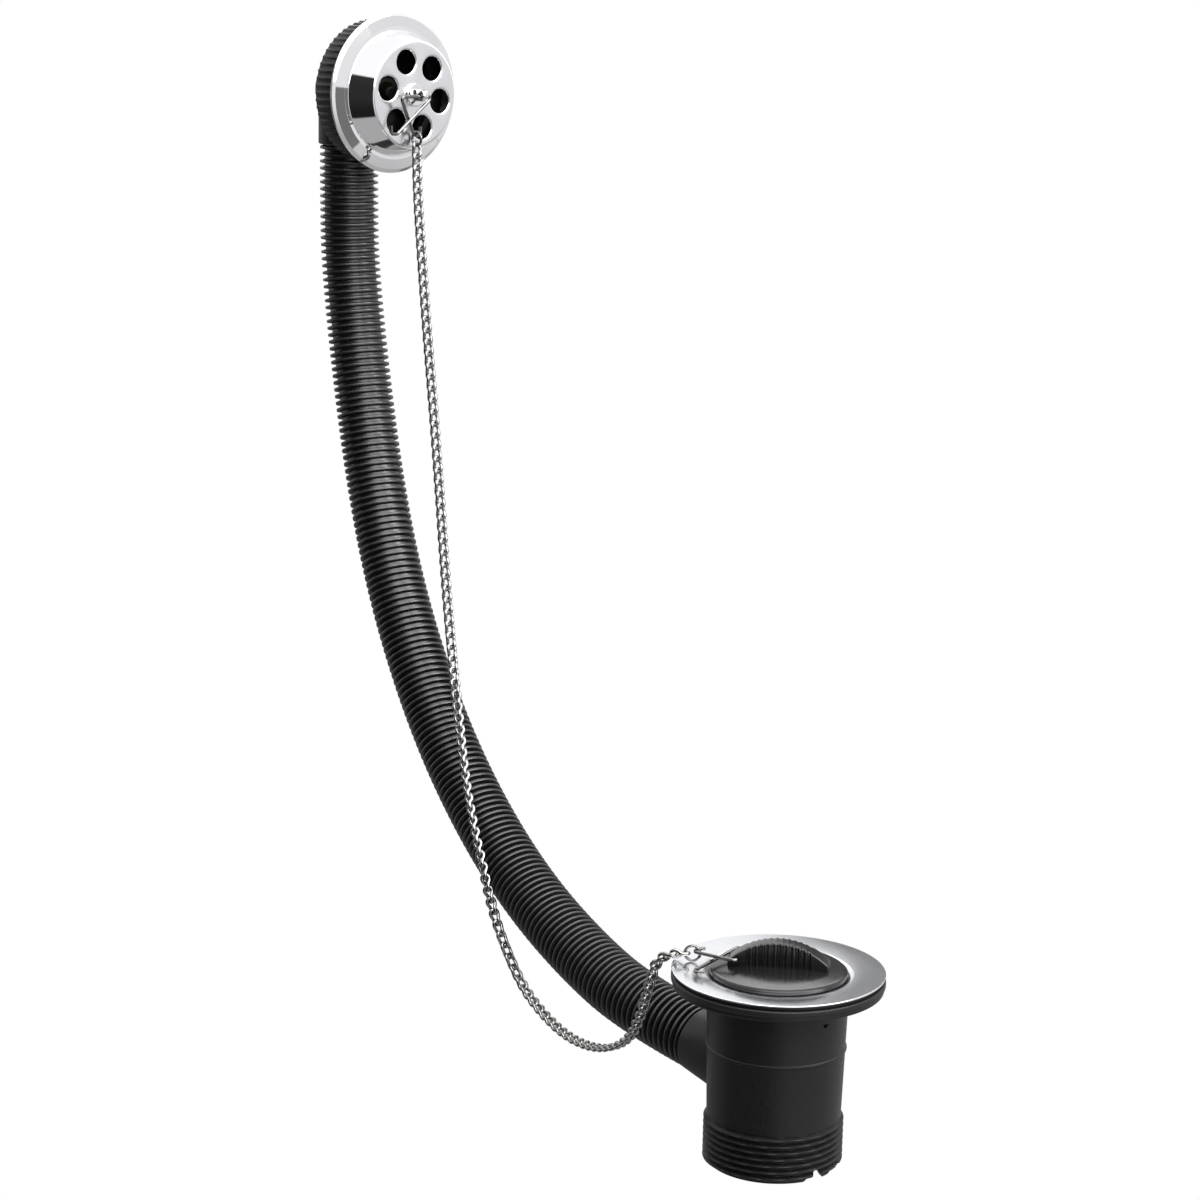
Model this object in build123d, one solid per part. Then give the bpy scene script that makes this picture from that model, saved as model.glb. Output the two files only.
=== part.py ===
from build123d import *
import os
from math import asin, atan2, cos, degrees, pi, radians, sin, tan

# Bath waste and overflow, in millimetres. The waste stands on the Z axis with its flange rim at
# height zero, and the overflow rose faces +X.

# Clearances
bearing_gap = 0.05      # pieces that bear on each other along a curved face
screw_gap = 0.05        # a screw in its nut, and a nut in its boss
hole_gap = 0.25         # a screw through a plain hole
mouth_gap = 0.3         # the flange's seat in the mouth of the body
step_gap = 0.4          # the foot of the flange's seat in the body
grid_gap = 0.6          # under the flange's grid

# Chrome flange of the waste
flange_radius = 36.2
flange_wall = 0.6
dish_fall = 0.8
lip_width = 1.6
lip_round = 1.5
seat_radius = 23.0
seat_top = 2.0
seat_depth = 8.0
seat_taper = 1.8
grid_thickness = 1.0
grid_hole_radius = 4.2
grid_hole_circle = 13.0
grid_hole_count = 6

# Seals of the waste
seal_inset = 1.0
seal_foot = 2.0
washer_overhang = 0.1
washer_thickness = 2.3
washer_round = 0.6
lip_room = 1.4

# Waste body
body_flange_inset = 0.4
body_flange_edge = 1.5
body_flange_fall = 1.4
body_neck_flare = 1.4
body_neck_fall = 1.8
body_wall = 1.8
body_step_fall = 2.4
bead_depth = 26.5
bead_radius = 0.5
tail_depth = 68.0
tail_wall = 2.7
thread_radius = 23.9
thread_rise = 1.0
thread_length = 17.0
spider_top = 18.0
spider_height = 9.0
spider_arm = 2.5
spider_boss = 6.5
notch_width = 6.9
notch_depth = 2.5
notch_angles = (-7, 22)
arrow_angle = -4
arrow_depth = 13.3
arrow_width = 2.7
arrow_height = 1.5
arrow_sink = 0.4

# Screw that holds the flange down
screw_radius = 3.0
screw_length = 22.0
screw_head_radius = 5.0
screw_head_height = 2.6
screw_slot = 1.2
nut_wall = 1.6

# Hose inlet of the body
inlet_depth = 39.3
inlet_rise = 6.5
inlet_reach = 36.0
inlet_root_radius = 13.2
inlet_face_radius = 11.6
inlet_spigot = 10.0

# Hose
hose_bore = 8.8
hose_root = 9.6
hose_ridge = 11.45
hose_pitch = 2.7
hose_ridge_top = 0.9
hose_ridge_foot = 1.5
hose_top_run = 30.0
hose_foot_run = 32.0
spigot_wall = 1.6

# Plug
plug_overhang = 0.4
plug_edge = 0.45
plug_dome = 2.0
plug_skirt_foot = 6.5
plug_wall = 2.2
grip_angle = 39.0
grip_half_length = 17.2
grip_end_height = 3.0
grip_height = 10.0
grip_thickness = 7.6
grip_round = 0.6
groove_count = 11
groove_pitch = 2.05
groove_width = 1.15
groove_depth = 0.8
groove_foot = 2.5
eye_along = 13.9
eye_height = 4.1
eye_radius = 0.9

# Overflow head
head_x = -251.7
head_y = 37.0
head_z = 276.7
rose_radius = 30.5
rose_wall = 0.8
rose_rim = 0.3
rose_cone = 1.5
rose_neck_radius = 24.4
rose_cup_radius = 23.4
rose_cup_start = 2.4
rose_face_radius = 20.2
rose_face = 12.5
rose_hole_radius = 4.6
rose_hole_circle = 13.0
rose_hole_count = 6
rose_hole_turn = -12.0
head_washer_radius = 28.5
head_washer_bore = 19.0
head_washer_foot = 3.5
drum_radius = 27.6
drum_serration = 0.7
drum_serrations = 60
drum_wall = 3.0
drum_back = 14.0
drum_floor = 2.5
duct_radius = 13.0
duct_bore = 10.0
outlet_setback = 26.9
outlet_radius = 12.0
outlet_drop = 21.2
outlet_spigot = 12.0
head_spider_front = 5.5
head_spider_depth = 5.0
head_arm = 2.2
head_boss = 5.6
head_boss_front = 4.0
head_boss_depth = 8.0

# Chain stay
stay_shank_radius = 2.5
stay_shank_back = 10.5
stay_collar_radius = 4.5
stay_collar_height = 1.2
stay_eye_reach = 4.8
stay_eye_round = 2.2
stay_thickness = 2.6
stay_eye_radius = 1.0

# Wire clips, rings and chain
clip_wire = 0.65
clip_base = 16.0
clip_cross_along = 4.4
clip_cross_drop = 8.4
clip_spread = 0.097
clip_hook_drop = 14.6
clip_tail_drop = 13.6
clip_hook_width = 3.1
clip_hook_return = 3.2
clip_bend = 0.95
hook_bend = 1.4
rose_clip_hold = 10.6
plug_clip_hold = 6.5
ring_radius = 2.6
ring_wire = 0.5
ring_drop = 5.0
link_wire = 0.46
link_end = 1.22
link_pitch = 4.2
link_slack = 0.24
link_twist = 35.0

# Hose and chain routes, from the overflow end to the waste end. The first and last points of
# each come from the fittings.
hose_points = [
    (-276.8, 36.8, 205.0),
    (-270.5, 35.9, 172.5),
    (-258.0, 32.8, 131.6),
    (-242.0, 28.6, 96.2),
    (-222.0, 24.3, 64.4),
    (-196.0, 19.0, 34.2),
    (-166.0, 13.4, 9.4),
    (-134.0, 8.0, -9.6),
    (-100.0, 3.4, -23.2),
]
chain_points = [
    (-232.4, 33.0, 244.0),
    (-225.5, 29.3, 222.0),
    (-218.0, 26.2, 192.0),
    (-204.6, 20.8, 144.0),
    (-191.9, 15.6, 90.0),
    (-178.2, 9.5, 53.5),
    (-165.7, 3.3, 28.6),
    (-154.3, -1.9, 12.7),
    (-145.6, -3.8, -4.3),
    (-142.0, -2.2, -18.4),
    (-138.2, 1.6, -33.0),
    (-129.0, 1.0, -43.0),
    (-115.0, -2.0, -48.2),
    (-98.0, -6.4, -50.6),
    (-80.0, -11.5, -48.6),
    (-64.0, -16.0, -43.4),
    (-51.5, -19.6, -35.6),
    (-44.0, -22.3, -26.0),
    (-40.0, -23.3, -17.4),
    (-37.2, -23.9, -9.2),
    (-35.4, -23.9, -2.6),
    (-32.9, -22.8, 0.8),
    (-29.7, -20.8, 2.4),
]


def outline(points, rounds=None):
    if not rounds:
        return make_face(Polyline(*points, close=True))
    radii = [rounds.get(i, 0) for i in range(len(points))]
    return make_face(FilletPolyline(*points, radius=radii, close=True))


def turned(points, rounds=None):
    # (radius, height) outline turned about the waste's axis
    return revolve(Plane.XZ * outline(points, rounds), Axis.Z)


def turned_head(points, rounds=None):
    # (reach, radius) outline turned about the rose's axis
    return revolve(outline(points, rounds), Axis.X)


def post(radius, bottom, top):
    return Pos(0, 0, bottom) * Cylinder(radius, top - bottom, align=(Align.CENTER, Align.CENTER, Align.MIN))


def head_post(radius, back, front):
    rod = Cylinder(radius, front - back, align=(Align.CENTER, Align.CENTER, Align.MIN))
    return Pos(back, 0, 0) * Rot(0, 90, 0) * rod


def around(count, start=0.0):
    return [start + 360 * i / count for i in range(count)]


def bent_path(points):
    # straight runs joined by arcs as large as the runs allow
    points = [Vector(p) for p in points]
    radii = []
    for a, b, c in zip(points, points[1:], points[2:]):
        run = min((b - a).length, (c - b).length)
        turn = radians((b - a).get_angle(c - b))
        radii.append(0.45 * run / tan(turn / 2))
    return FilletPolyline(*points, radius=radii), radii


def wire_sweep(path, radius):
    start = Plane(origin=path @ 0, z_dir=path % 0)
    return sweep(start * Circle(radius), path=path)


# Waste flange: dish, lip, seat and grid pressed as one
lip_radius = seat_radius + lip_width
flange_dish = dish_fall / (flange_radius - lip_radius)
seat_slope = seat_taper / (seat_depth - seat_top)
grid_edge = seat_radius - seat_taper
waste_flange = turned(
    [
        (0, -seat_depth),
        (grid_edge, -seat_depth),
        (seat_radius, -seat_top),
        (lip_radius, -dish_fall),
        (flange_radius, 0),
        (flange_radius, -flange_wall),
        (lip_radius, -dish_fall - flange_wall),
        (seat_radius + flange_wall, -seat_top - flange_wall / 2),
        (grid_edge + flange_wall, -seat_depth - grid_thickness),
        (0, -seat_depth - grid_thickness),
    ],
    {2: lip_round / 2, 3: lip_round, 4: flange_wall * 0.4, 5: flange_wall * 0.4, 8: flange_wall},
)
grid_cut = post(screw_radius + hole_gap, -seat_depth - 2 * grid_thickness, -seat_depth + grid_thickness)
for angle in around(grid_hole_count):
    hole = post(grid_hole_radius, -seat_depth - 2 * grid_thickness, -seat_depth + grid_thickness)
    grid_cut += Rot(0, 0, angle) * Pos(grid_hole_circle, 0, 0) * hole
waste_flange -= grid_cut


def dish_under(radius):
    return -flange_wall - flange_dish * (flange_radius - radius)


# Rubber seals above and below the bath floor
washer_foot = seal_foot + washer_thickness
washer_bore = lip_radius + lip_room
seal_radius = flange_radius - seal_inset
washer_radius = flange_radius + washer_overhang
flange_seal = turned(
    [
        (washer_bore, -seal_foot),
        (seal_radius, -seal_foot),
        (seal_radius, dish_under(seal_radius) - bearing_gap),
        (washer_bore, dish_under(washer_bore) - bearing_gap),
    ]
)
body_washer = turned(
    [
        (washer_bore, -washer_foot),
        (washer_radius, -washer_foot),
        (washer_radius, -seal_foot),
        (washer_bore, -seal_foot),
    ],
    {1: washer_round, 2: washer_round},
)

# Waste body: flanged shell, tail with the crest of its thread, hose inlet and spider
body_top = -washer_foot
body_flange_foot = body_top - body_flange_edge
body_neck = body_flange_foot - body_flange_fall
body_shoulder = body_neck - body_neck_fall
bore_mouth = seat_radius + flange_wall + mouth_gap
bore_step_radius = grid_edge + flange_wall + step_gap
bore_step = seat_depth + grid_thickness + grid_gap
body_radius = bore_step_radius + body_wall
body_flange_radius = flange_radius - body_flange_inset
thread_top = thread_length - tail_depth
body_foot_radius = thread_radius - thread_rise
tail_bore = body_foot_radius - tail_wall
body_outline = [
    (0, body_top),
    (body_flange_radius, body_top),
    (body_flange_radius, body_flange_foot),
    (body_radius + body_neck_flare, body_neck),
    (body_radius, body_shoulder),
    (body_foot_radius, thread_top),
    (thread_radius, thread_top - thread_rise),
    (thread_radius, -tail_depth + thread_rise),
    (body_foot_radius, -tail_depth),
    (0, -tail_depth),
]
body_bore = turned(
    [
        (0, body_top + 1),
        (bore_mouth, body_top + 1),
        (bore_mouth, body_top),
        (bore_step_radius, -bore_step),
        (tail_bore, -bore_step - body_step_fall),
        (tail_bore, -tail_depth - 1),
        (0, -tail_depth - 1),
    ]
)
inlet_dir = Vector(-cos(radians(inlet_rise)), 0, sin(radians(inlet_rise)))
inlet = Plane(origin=(0, 0, -inlet_depth), x_dir=(0, 1, 0), z_dir=inlet_dir)
spigot_radius = hose_bore - bearing_gap
inlet_root = tail_bore - 2
inlet_stub = Pos(0, 0, inlet_root) * Cone(
    inlet_root_radius,
    inlet_face_radius,
    inlet_reach - inlet_root,
    align=(Align.CENTER, Align.CENTER, Align.MIN),
)
inlet_tube = post(spigot_radius, inlet_root, inlet_reach + inlet_spigot)
inlet_bore = post(spigot_radius - spigot_wall, 0, inlet_reach + inlet_spigot + 1)
body_draft = (body_radius - body_foot_radius) / (body_shoulder - thread_top)
body_at_bead = body_radius - body_draft * (body_shoulder + bead_depth)
waste_body = turned(body_outline, {2: body_flange_edge / 3, 3: body_neck_flare / 2})
waste_body += Pos(0, 0, -bead_depth) * Torus(body_at_bead, bead_radius)
waste_body += inlet * inlet_stub
waste_body += inlet * inlet_tube
waste_body -= body_bore
waste_body -= inlet * inlet_bore
spider_foot = spider_top + spider_height
nut_radius = screw_radius + nut_wall
waste_body += post(spider_boss, -spider_foot, -spider_top)
for angle in around(4, 45):
    arm_length = tail_bore + 0.8 - spider_boss / 2
    arm = Pos(spider_boss / 2, 0, -spider_top - spider_height / 2) * Box(
        arm_length, spider_arm, spider_height, align=(Align.MIN, Align.CENTER, Align.CENTER)
    )
    waste_body += Rot(0, 0, angle) * arm
waste_body -= post(nut_radius + screw_gap, -spider_foot - 1, -spider_top + 1)
for angle in notch_angles:
    notch = outline(
        [
            (-notch_width / 2, -tail_depth),
            (notch_width / 2, -tail_depth),
            (0, -tail_depth + notch_depth),
        ]
    )
    cutter = extrude(Plane.YZ * notch, thread_radius + 1)
    waste_body -= Rot(0, 0, angle) * (cutter - post(tail_bore / 2, -tail_depth - 1, 0))
arrow = outline(
    [
        (-arrow_width / 2, -arrow_depth + arrow_height / 2),
        (arrow_width / 2, -arrow_depth + arrow_height / 2),
        (0, -arrow_depth - arrow_height / 2),
    ]
)
arrow_cut = extrude(Plane.YZ.offset(body_radius - arrow_sink - 0.15) * arrow, 2)
waste_body -= Rot(0, 0, arrow_angle) * arrow_cut

# Brass nut in the body's spider, and the screw that draws the flange down
body_insert = post(nut_radius, -spider_foot, -spider_top) - post(
    screw_radius + screw_gap, -spider_foot - 1, -spider_top + 1
)
screw_head_top = -seat_depth + screw_head_height
flange_screw = post(screw_radius, -seat_depth - screw_length, -seat_depth)
flange_screw += post(screw_head_radius, -seat_depth, screw_head_top)
flange_screw = fillet(flange_screw.edges().group_by(Axis.Z)[-1], 0.4)
flange_screw -= Pos(0, 0, screw_head_top) * Box(4 * screw_head_radius, screw_slot, 2 * screw_slot)


# Plug: dome, skirt and ribbed grip moulded as one
def skirt_radius(depth):
    return seat_radius - seat_slope * (depth - seat_top) - bearing_gap


skirt_start = seat_top + 0.2
plug_radius = seat_radius + plug_overhang
dome_rim = plug_radius - 0.6
dome_arc = ThreePointArc(
    (0, plug_dome),
    (dome_rim / 2, plug_dome - (plug_dome - plug_edge) / 4),
    (dome_rim, plug_edge),
)
plug_under = Polyline(
    (dome_rim, plug_edge),
    (plug_radius, plug_edge - 0.5),
    (plug_radius, -0.9),
    (skirt_radius(skirt_start), -skirt_start),
    (skirt_radius(plug_skirt_foot), -plug_skirt_foot),
    (skirt_radius(plug_skirt_foot) - plug_wall, -plug_skirt_foot),
    (skirt_radius(skirt_start) - plug_wall, -1.4),
    (0, -0.6),
    (0, plug_dome),
)
plug = revolve(Plane.XZ * make_face([dome_arc, plug_under]), Axis.Z)
grip_dir = Vector(cos(radians(grip_angle)), sin(radians(grip_angle)), 0)
grip_side = Vector(grip_dir.Y, -grip_dir.X, 0)
grip_plane = Plane(origin=(0, 0, 0), x_dir=grip_dir, z_dir=grip_side)
grip_foot = plug_dome / 4
grip_outline = make_face(
    [
        ThreePointArc(
            (-grip_half_length, grip_end_height), (0, grip_height), (grip_half_length, grip_end_height)
        ),
        Polyline(
            (grip_half_length, grip_end_height),
            (grip_half_length, grip_foot),
            (-grip_half_length, grip_foot),
            (-grip_half_length, grip_end_height),
        ),
    ]
)
grip = extrude(grip_outline, grip_thickness / 2, both=True)
grip = fillet(grip.edges().filter_by(GeomType.CIRCLE), grip_round)
groove = Box(groove_width, grip_height, 2 * groove_depth, align=(Align.CENTER, Align.MIN, Align.CENTER))
for i in range(groove_count):
    along = (i - (groove_count - 1) / 2) * groove_pitch
    for side in (-1, 1):
        grip -= Pos(along, groove_foot, side * grip_thickness / 2) * groove
grip -= Pos(-eye_along, eye_height, 0) * Cylinder(eye_radius, 2 * grip_thickness)
plug += grip_plane * grip

# Overflow rose, in the head's own place
head = Pos(head_x, head_y, head_z)
rose_slope = rose_cone / (rose_radius - rose_neck_radius)
rose_neck = rose_rim + rose_cone
overflow_rose = turned_head(
    [
        (rose_face, 0),
        (rose_face, rose_face_radius),
        (rose_cup_start, rose_cup_radius),
        (rose_neck, rose_neck_radius),
        (rose_rim, rose_radius),
        (rose_rim - rose_wall, rose_radius),
        (rose_neck - rose_wall, rose_neck_radius - 0.2),
        (rose_cup_start - rose_wall / 2, rose_cup_radius - rose_wall),
        (rose_face - rose_wall, rose_face_radius - rose_wall),
        (rose_face - rose_wall, 0),
    ],
    {1: 1.3, 2: 0.5, 3: 0.8, 4: 0.3, 5: 0.3, 8: 0.5},
)
rose_cut = head_post(stay_shank_radius + hole_gap, 0, rose_face + 1)
for angle in around(rose_hole_count, rose_hole_turn):
    rose_cut += Rot(angle, 0, 0) * Pos(0, rose_hole_circle, 0) * head_post(rose_hole_radius, 8, rose_face + 1)
overflow_rose -= rose_cut

# Overflow washer and elbow
rose_back = rose_rim - rose_wall + rose_slope * (rose_radius - head_washer_radius)
overflow_washer = turned_head(
    [
        (-head_washer_foot, head_washer_bore),
        (rose_back - bearing_gap, head_washer_bore),
        (rose_back - bearing_gap, head_washer_radius),
        (-head_washer_foot, head_washer_radius),
    ]
)
serration_points = []
for i in range(2 * drum_serrations):
    radius = drum_radius - (i % 2) * drum_serration
    angle = pi * i / drum_serrations
    serration_points.append((radius * cos(angle), radius * sin(angle)))
drum = Pos(-drum_back, 0, 0) * extrude(Plane.YZ * outline(serration_points), drum_back - head_washer_foot)
drum -= head_post(drum_radius - drum_wall, -drum_back + drum_floor, 0)
duct = head_post(duct_radius, -outlet_setback, -drum_back + drum_floor / 2)
outlet = Pos(-outlet_setback, 0, 0) * post(outlet_radius, -outlet_drop, 0)
outlet_tube = Pos(-outlet_setback, 0, 0) * post(spigot_radius, -outlet_drop - outlet_spigot, -outlet_drop + 2)
corner = Pos(-outlet_setback, 0, 0)
overflow_elbow = drum + duct + corner * Sphere(duct_radius + 0.3) + outlet + outlet_tube
overflow_elbow -= head_post(duct_bore, -outlet_setback, -drum_back + drum_floor + 1)
overflow_elbow -= corner * Sphere(duct_bore + 0.2)
overflow_elbow -= corner * post(spigot_radius - spigot_wall, -outlet_drop - outlet_spigot - 1, 0)
stay_nut = stay_shank_radius + nut_wall
overflow_elbow += head_post(head_boss, -head_boss_front - head_boss_depth, -head_boss_front)
for angle in around(3, 90):
    arm_length = drum_radius - drum_wall + 0.8 - head_boss / 2
    arm = Pos(-head_spider_front, head_boss / 2, 0) * Box(
        head_spider_depth, arm_length, head_arm, align=(Align.MAX, Align.MIN, Align.CENTER)
    )
    overflow_elbow += Rot(angle, 0, 0) * arm
boss_back = -head_boss_front - head_boss_depth
overflow_elbow -= head_post(stay_nut + screw_gap, boss_back - 1, -head_boss_front + 1)

# Brass nut in the elbow's spider, and the chain stay that screws into it
stay_insert = head_post(stay_nut, boss_back, -head_boss_front)
stay_insert -= head_post(stay_shank_radius + screw_gap, boss_back - 1, 0)
stay_eye_x = rose_face + stay_eye_reach
chain_stay = head_post(stay_shank_radius, -stay_shank_back, rose_face)
chain_stay += head_post(stay_collar_radius, rose_face, rose_face + stay_collar_height)
chain_stay = fillet(chain_stay.edges().group_by(Axis.X)[-1], 0.5)
eye_plate = Pos(rose_face + 0.5, 0, 0) * Box(
    stay_eye_reach - 0.5, stay_thickness, 2 * stay_eye_round, align=(Align.MIN, Align.CENTER, Align.CENTER)
)
eye_plate += Pos(stay_eye_x, 0, 0) * Rot(90, 0, 0) * Cylinder(stay_eye_round, stay_thickness)
chain_stay += eye_plate
chain_stay -= Pos(stay_eye_x, 0, 0) * Rot(90, 0, 0) * Cylinder(stay_eye_radius, 2 * stay_thickness)

# Wire clip: a triangle whose two arms cross and end in hooks. Local x runs along the base, local
# y up towards it.
hook_at = clip_cross_along * clip_hook_drop / clip_cross_drop
cross_run = (clip_base - clip_cross_along) / clip_cross_drop
tail_at = clip_base - cross_run * clip_tail_drop
hook_side = -clip_spread * clip_hook_drop
tail_side = clip_spread * clip_tail_drop
clip_path = FilletPolyline(
    (tail_at - clip_hook_width, -clip_tail_drop + clip_hook_return, tail_side),
    (tail_at - clip_hook_width, -clip_tail_drop, tail_side),
    (tail_at, -clip_tail_drop, tail_side),
    (clip_base, 0, 0),
    (0, 0, 0),
    (hook_at, -clip_hook_drop, hook_side),
    (hook_at + clip_hook_width, -clip_hook_drop, hook_side),
    (hook_at + clip_hook_width, -clip_hook_drop + clip_hook_return, hook_side),
    radius=[hook_bend, hook_bend, clip_bend, clip_bend, hook_bend, hook_bend],
)
clip = wire_sweep(clip_path, clip_wire)
hook_middle = Vector(hook_at + clip_hook_width / 2 - 0.1, -clip_hook_drop, hook_side)
ring_hang = ring_radius - ring_wire - clip_wire - bearing_gap

# Clip and ring that hang from the chain stay
stay_wire_drop = stay_eye_radius - clip_wire - bearing_gap
rose_clip_plane = Plane(
    origin=(head_x + stay_eye_x, head_y - rose_clip_hold, head_z - stay_wire_drop),
    x_dir=(0, 1, 0),
    z_dir=(1, 0, 0),
)
rose_clip = rose_clip_plane * clip
rose_ring_center = rose_clip_plane.from_local_coords(hook_middle) - Vector(0, 0, ring_hang)
rose_ring = Plane(origin=rose_ring_center, z_dir=(0, 1, 0)) * Torus(ring_radius, ring_wire)

# Clip and ring that lie from the plug to the flange
ring_along = eye_along + clip_hook_drop + ring_hang
ring_height = -flange_dish * (flange_radius - ring_along) + ring_radius + ring_wire + bearing_gap
hook_height = ring_height + ring_hang * sin(radians(45))
clip_tilt = asin((eye_height - hook_height - hook_side) / clip_hook_drop)
plug_clip_plane = Plane(
    origin=Vector(0, 0, eye_height) - grip_dir * eye_along + grip_side * plug_clip_hold,
    x_dir=grip_side * -1,
    z_dir=grip_dir * sin(clip_tilt) - Vector(0, 0, cos(clip_tilt)),
)
plug_clip = plug_clip_plane * clip
plug_hook = plug_clip_plane.from_local_coords(hook_middle)
ring_out = grip_dir * -1
plug_ring_center = plug_hook + (ring_out - Vector(0, 0, 1)) * (ring_hang * sin(radians(45)))
plug_ring = Plane(origin=plug_ring_center, z_dir=grip_side) * Torus(ring_radius, ring_wire)

# Hose: ridges along the route, on the spigots of the elbow and of the waste body
hose_top = Vector(head_x - outlet_setback, head_y, head_z - outlet_drop)
hose_foot = inlet.from_local_coords((0, 0, inlet_reach))
hose_route = [hose_top, hose_top - Vector(0, 0, hose_top_run)]
hose_route += [Vector(p) for p in hose_points]
hose_route += [hose_foot + inlet_dir * hose_foot_run, hose_foot]
hose_path, hose_radii = bent_path(hose_route)
hose_length = hose_path.length
ridge_count = round(hose_length / hose_pitch)
ridge_step = hose_length / ridge_count
hose_side = Vector(hose_top.X - hose_foot.X, hose_top.Y - hose_foot.Y, 0).cross(Vector(0, 0, 1))


def hose_section(distance, radius):
    place = Plane(
        origin=hose_path.position_at(distance / hose_length),
        x_dir=hose_side,
        z_dir=hose_path.tangent_at(distance / hose_length),
    )
    return place * Circle(radius)


hose_sections = [hose_section(0, hose_root)]
for i in range(ridge_count):
    middle = (i + 0.5) * ridge_step
    hose_sections += [
        hose_section(middle - hose_ridge_foot / 2, hose_root),
        hose_section(middle - hose_ridge_top / 2, hose_ridge),
        hose_section(middle + hose_ridge_top / 2, hose_ridge),
        hose_section(middle + hose_ridge_foot / 2, hose_root),
    ]
hose_sections.append(hose_section(hose_length, hose_root))
overflow_hose = loft(hose_sections, ruled=True)
overflow_hose -= wire_sweep(hose_path, hose_bore)

# Chain: curb links, each a wire loop with its two ends twisted apart
span = link_pitch + 2 * link_wire + link_slack - 2 * link_end
offset = link_end * sin(radians(link_twist))
across = link_end * cos(radians(link_twist))
side_bend = (span**2 + 4 * offset**2) / (8 * offset)
side_sweep = degrees(asin(span / 2 / side_bend))


def bent_wire(center, axis, start, tangent, angle):
    section = Plane(origin=start, z_dir=tangent) * Circle(link_wire)
    return revolve(section, Axis(center, axis), angle)


link_pieces = []
for end in (-1, 1):
    spread = Vector(0, across, end * offset)
    middle = Vector(end * span / 2, 0, 0)
    turn_axis = Vector(1, 0, 0).cross(spread)
    link_pieces.append(bent_wire(middle, turn_axis * -end, middle + spread, (1, 0, 0), 180))
for side in (-1, 1):
    for end in (-1, 1):
        start = Vector(end * span / 2, side * across, side * end * offset)
        center = start - Vector(0, 0, side * end * side_bend)
        link_pieces.append(bent_wire(center, (0, -side, 0), start, (1, 0, 0), side_sweep))
link = link_pieces[0]
for piece in link_pieces[1:]:
    link += piece

rose_ring_foot = rose_ring_center - Vector(0, 0, ring_radius)
chain_reach = link_wire + link_slack / 2
chain_start = rose_ring_foot + Vector(0, 0, chain_reach)
ring_leave = ring_out * cos(radians(ring_drop)) - Vector(0, 0, sin(radians(ring_drop)))
chain_end = plug_ring_center + ring_leave * (ring_radius - chain_reach)
chain_path, chain_radii = bent_path([chain_start] + chain_points + [chain_end])
chain_length = chain_path.length
link_count = round(chain_length / link_pitch)
joints = [chain_path.position_at(i / link_count) for i in range(link_count + 1)]


def rolled(direction, along, angle):
    return direction.rotate(Axis((0, 0, 0), along), angle)


# The links turn evenly along the chain, so that the first is square to the rose's ring and the
# last to the plug's ring
runs = [(b - a).normalized() for a, b in zip(joints, joints[1:])]
width = rolled(Vector(0, 1, 0), runs[0], link_twist)
widths = []
for along in runs:
    width = (width - along * width.dot(along)).normalized()
    widths.append(width)
square = grip_side - runs[-1] * grip_side.dot(runs[-1])
wanted = rolled(square.normalized(), runs[-1], -link_twist)
chain_turn = degrees(atan2(runs[-1].dot(width.cross(wanted)), width.dot(wanted)))
chain_turn -= 180 * round(chain_turn / 180)
links = []
for i, along in enumerate(runs):
    width = rolled(widths[i], along, chain_turn * i / (link_count - 1))
    place = Plane(origin=(joints[i] + joints[i + 1]) * 0.5, x_dir=along, z_dir=along.cross(width))
    links.append(place.location * link)

nodes = {
    "waste_flange": waste_flange,
    "flange_seal": flange_seal,
    "body_washer": body_washer,
    "waste_body": waste_body,
    "body_insert": body_insert,
    "flange_screw": flange_screw,
    "plug": plug,
    "plug_clip": plug_clip,
    "plug_ring": plug_ring,
    "chain": Compound(children=links),
    "rose_ring": rose_ring,
    "rose_clip": rose_clip,
    "overflow_rose": head * overflow_rose,
    "chain_stay": head * chain_stay,
    "stay_insert": head * stay_insert,
    "overflow_washer": head * overflow_washer,
    "overflow_elbow": head * overflow_elbow,
    "overflow_hose": overflow_hose,
}
os.makedirs("parts", exist_ok=True)
for name, solid in nodes.items():
    export_step(solid, f"parts/{name}.step")
    print(name, len(solid.solids()), round(solid.volume, 1))
print("hose", round(hose_length, 1), "ridges", ridge_count, "radii", [round(r) for r in hose_radii])
print("chain", round(chain_length, 1), "links", link_count, "radii", [round(r, 1) for r in chain_radii])
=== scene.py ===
import math
import bmesh
import bpy
import numpy as np
from mathutils import Matrix, Vector


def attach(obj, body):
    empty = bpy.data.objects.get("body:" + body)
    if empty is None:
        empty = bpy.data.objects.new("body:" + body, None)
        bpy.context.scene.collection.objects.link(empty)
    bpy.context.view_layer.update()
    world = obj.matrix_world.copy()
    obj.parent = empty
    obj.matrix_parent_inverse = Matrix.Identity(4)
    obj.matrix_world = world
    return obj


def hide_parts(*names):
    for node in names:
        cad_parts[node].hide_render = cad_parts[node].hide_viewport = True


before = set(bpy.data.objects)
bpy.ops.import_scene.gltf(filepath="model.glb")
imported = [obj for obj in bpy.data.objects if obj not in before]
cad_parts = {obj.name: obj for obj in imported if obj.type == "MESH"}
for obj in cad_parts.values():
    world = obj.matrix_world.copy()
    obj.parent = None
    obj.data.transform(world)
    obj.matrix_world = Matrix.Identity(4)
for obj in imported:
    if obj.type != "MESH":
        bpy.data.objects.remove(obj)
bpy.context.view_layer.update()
scene = bpy.context.scene
mm = 0.001
print("stage: frame loaded")


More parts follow.
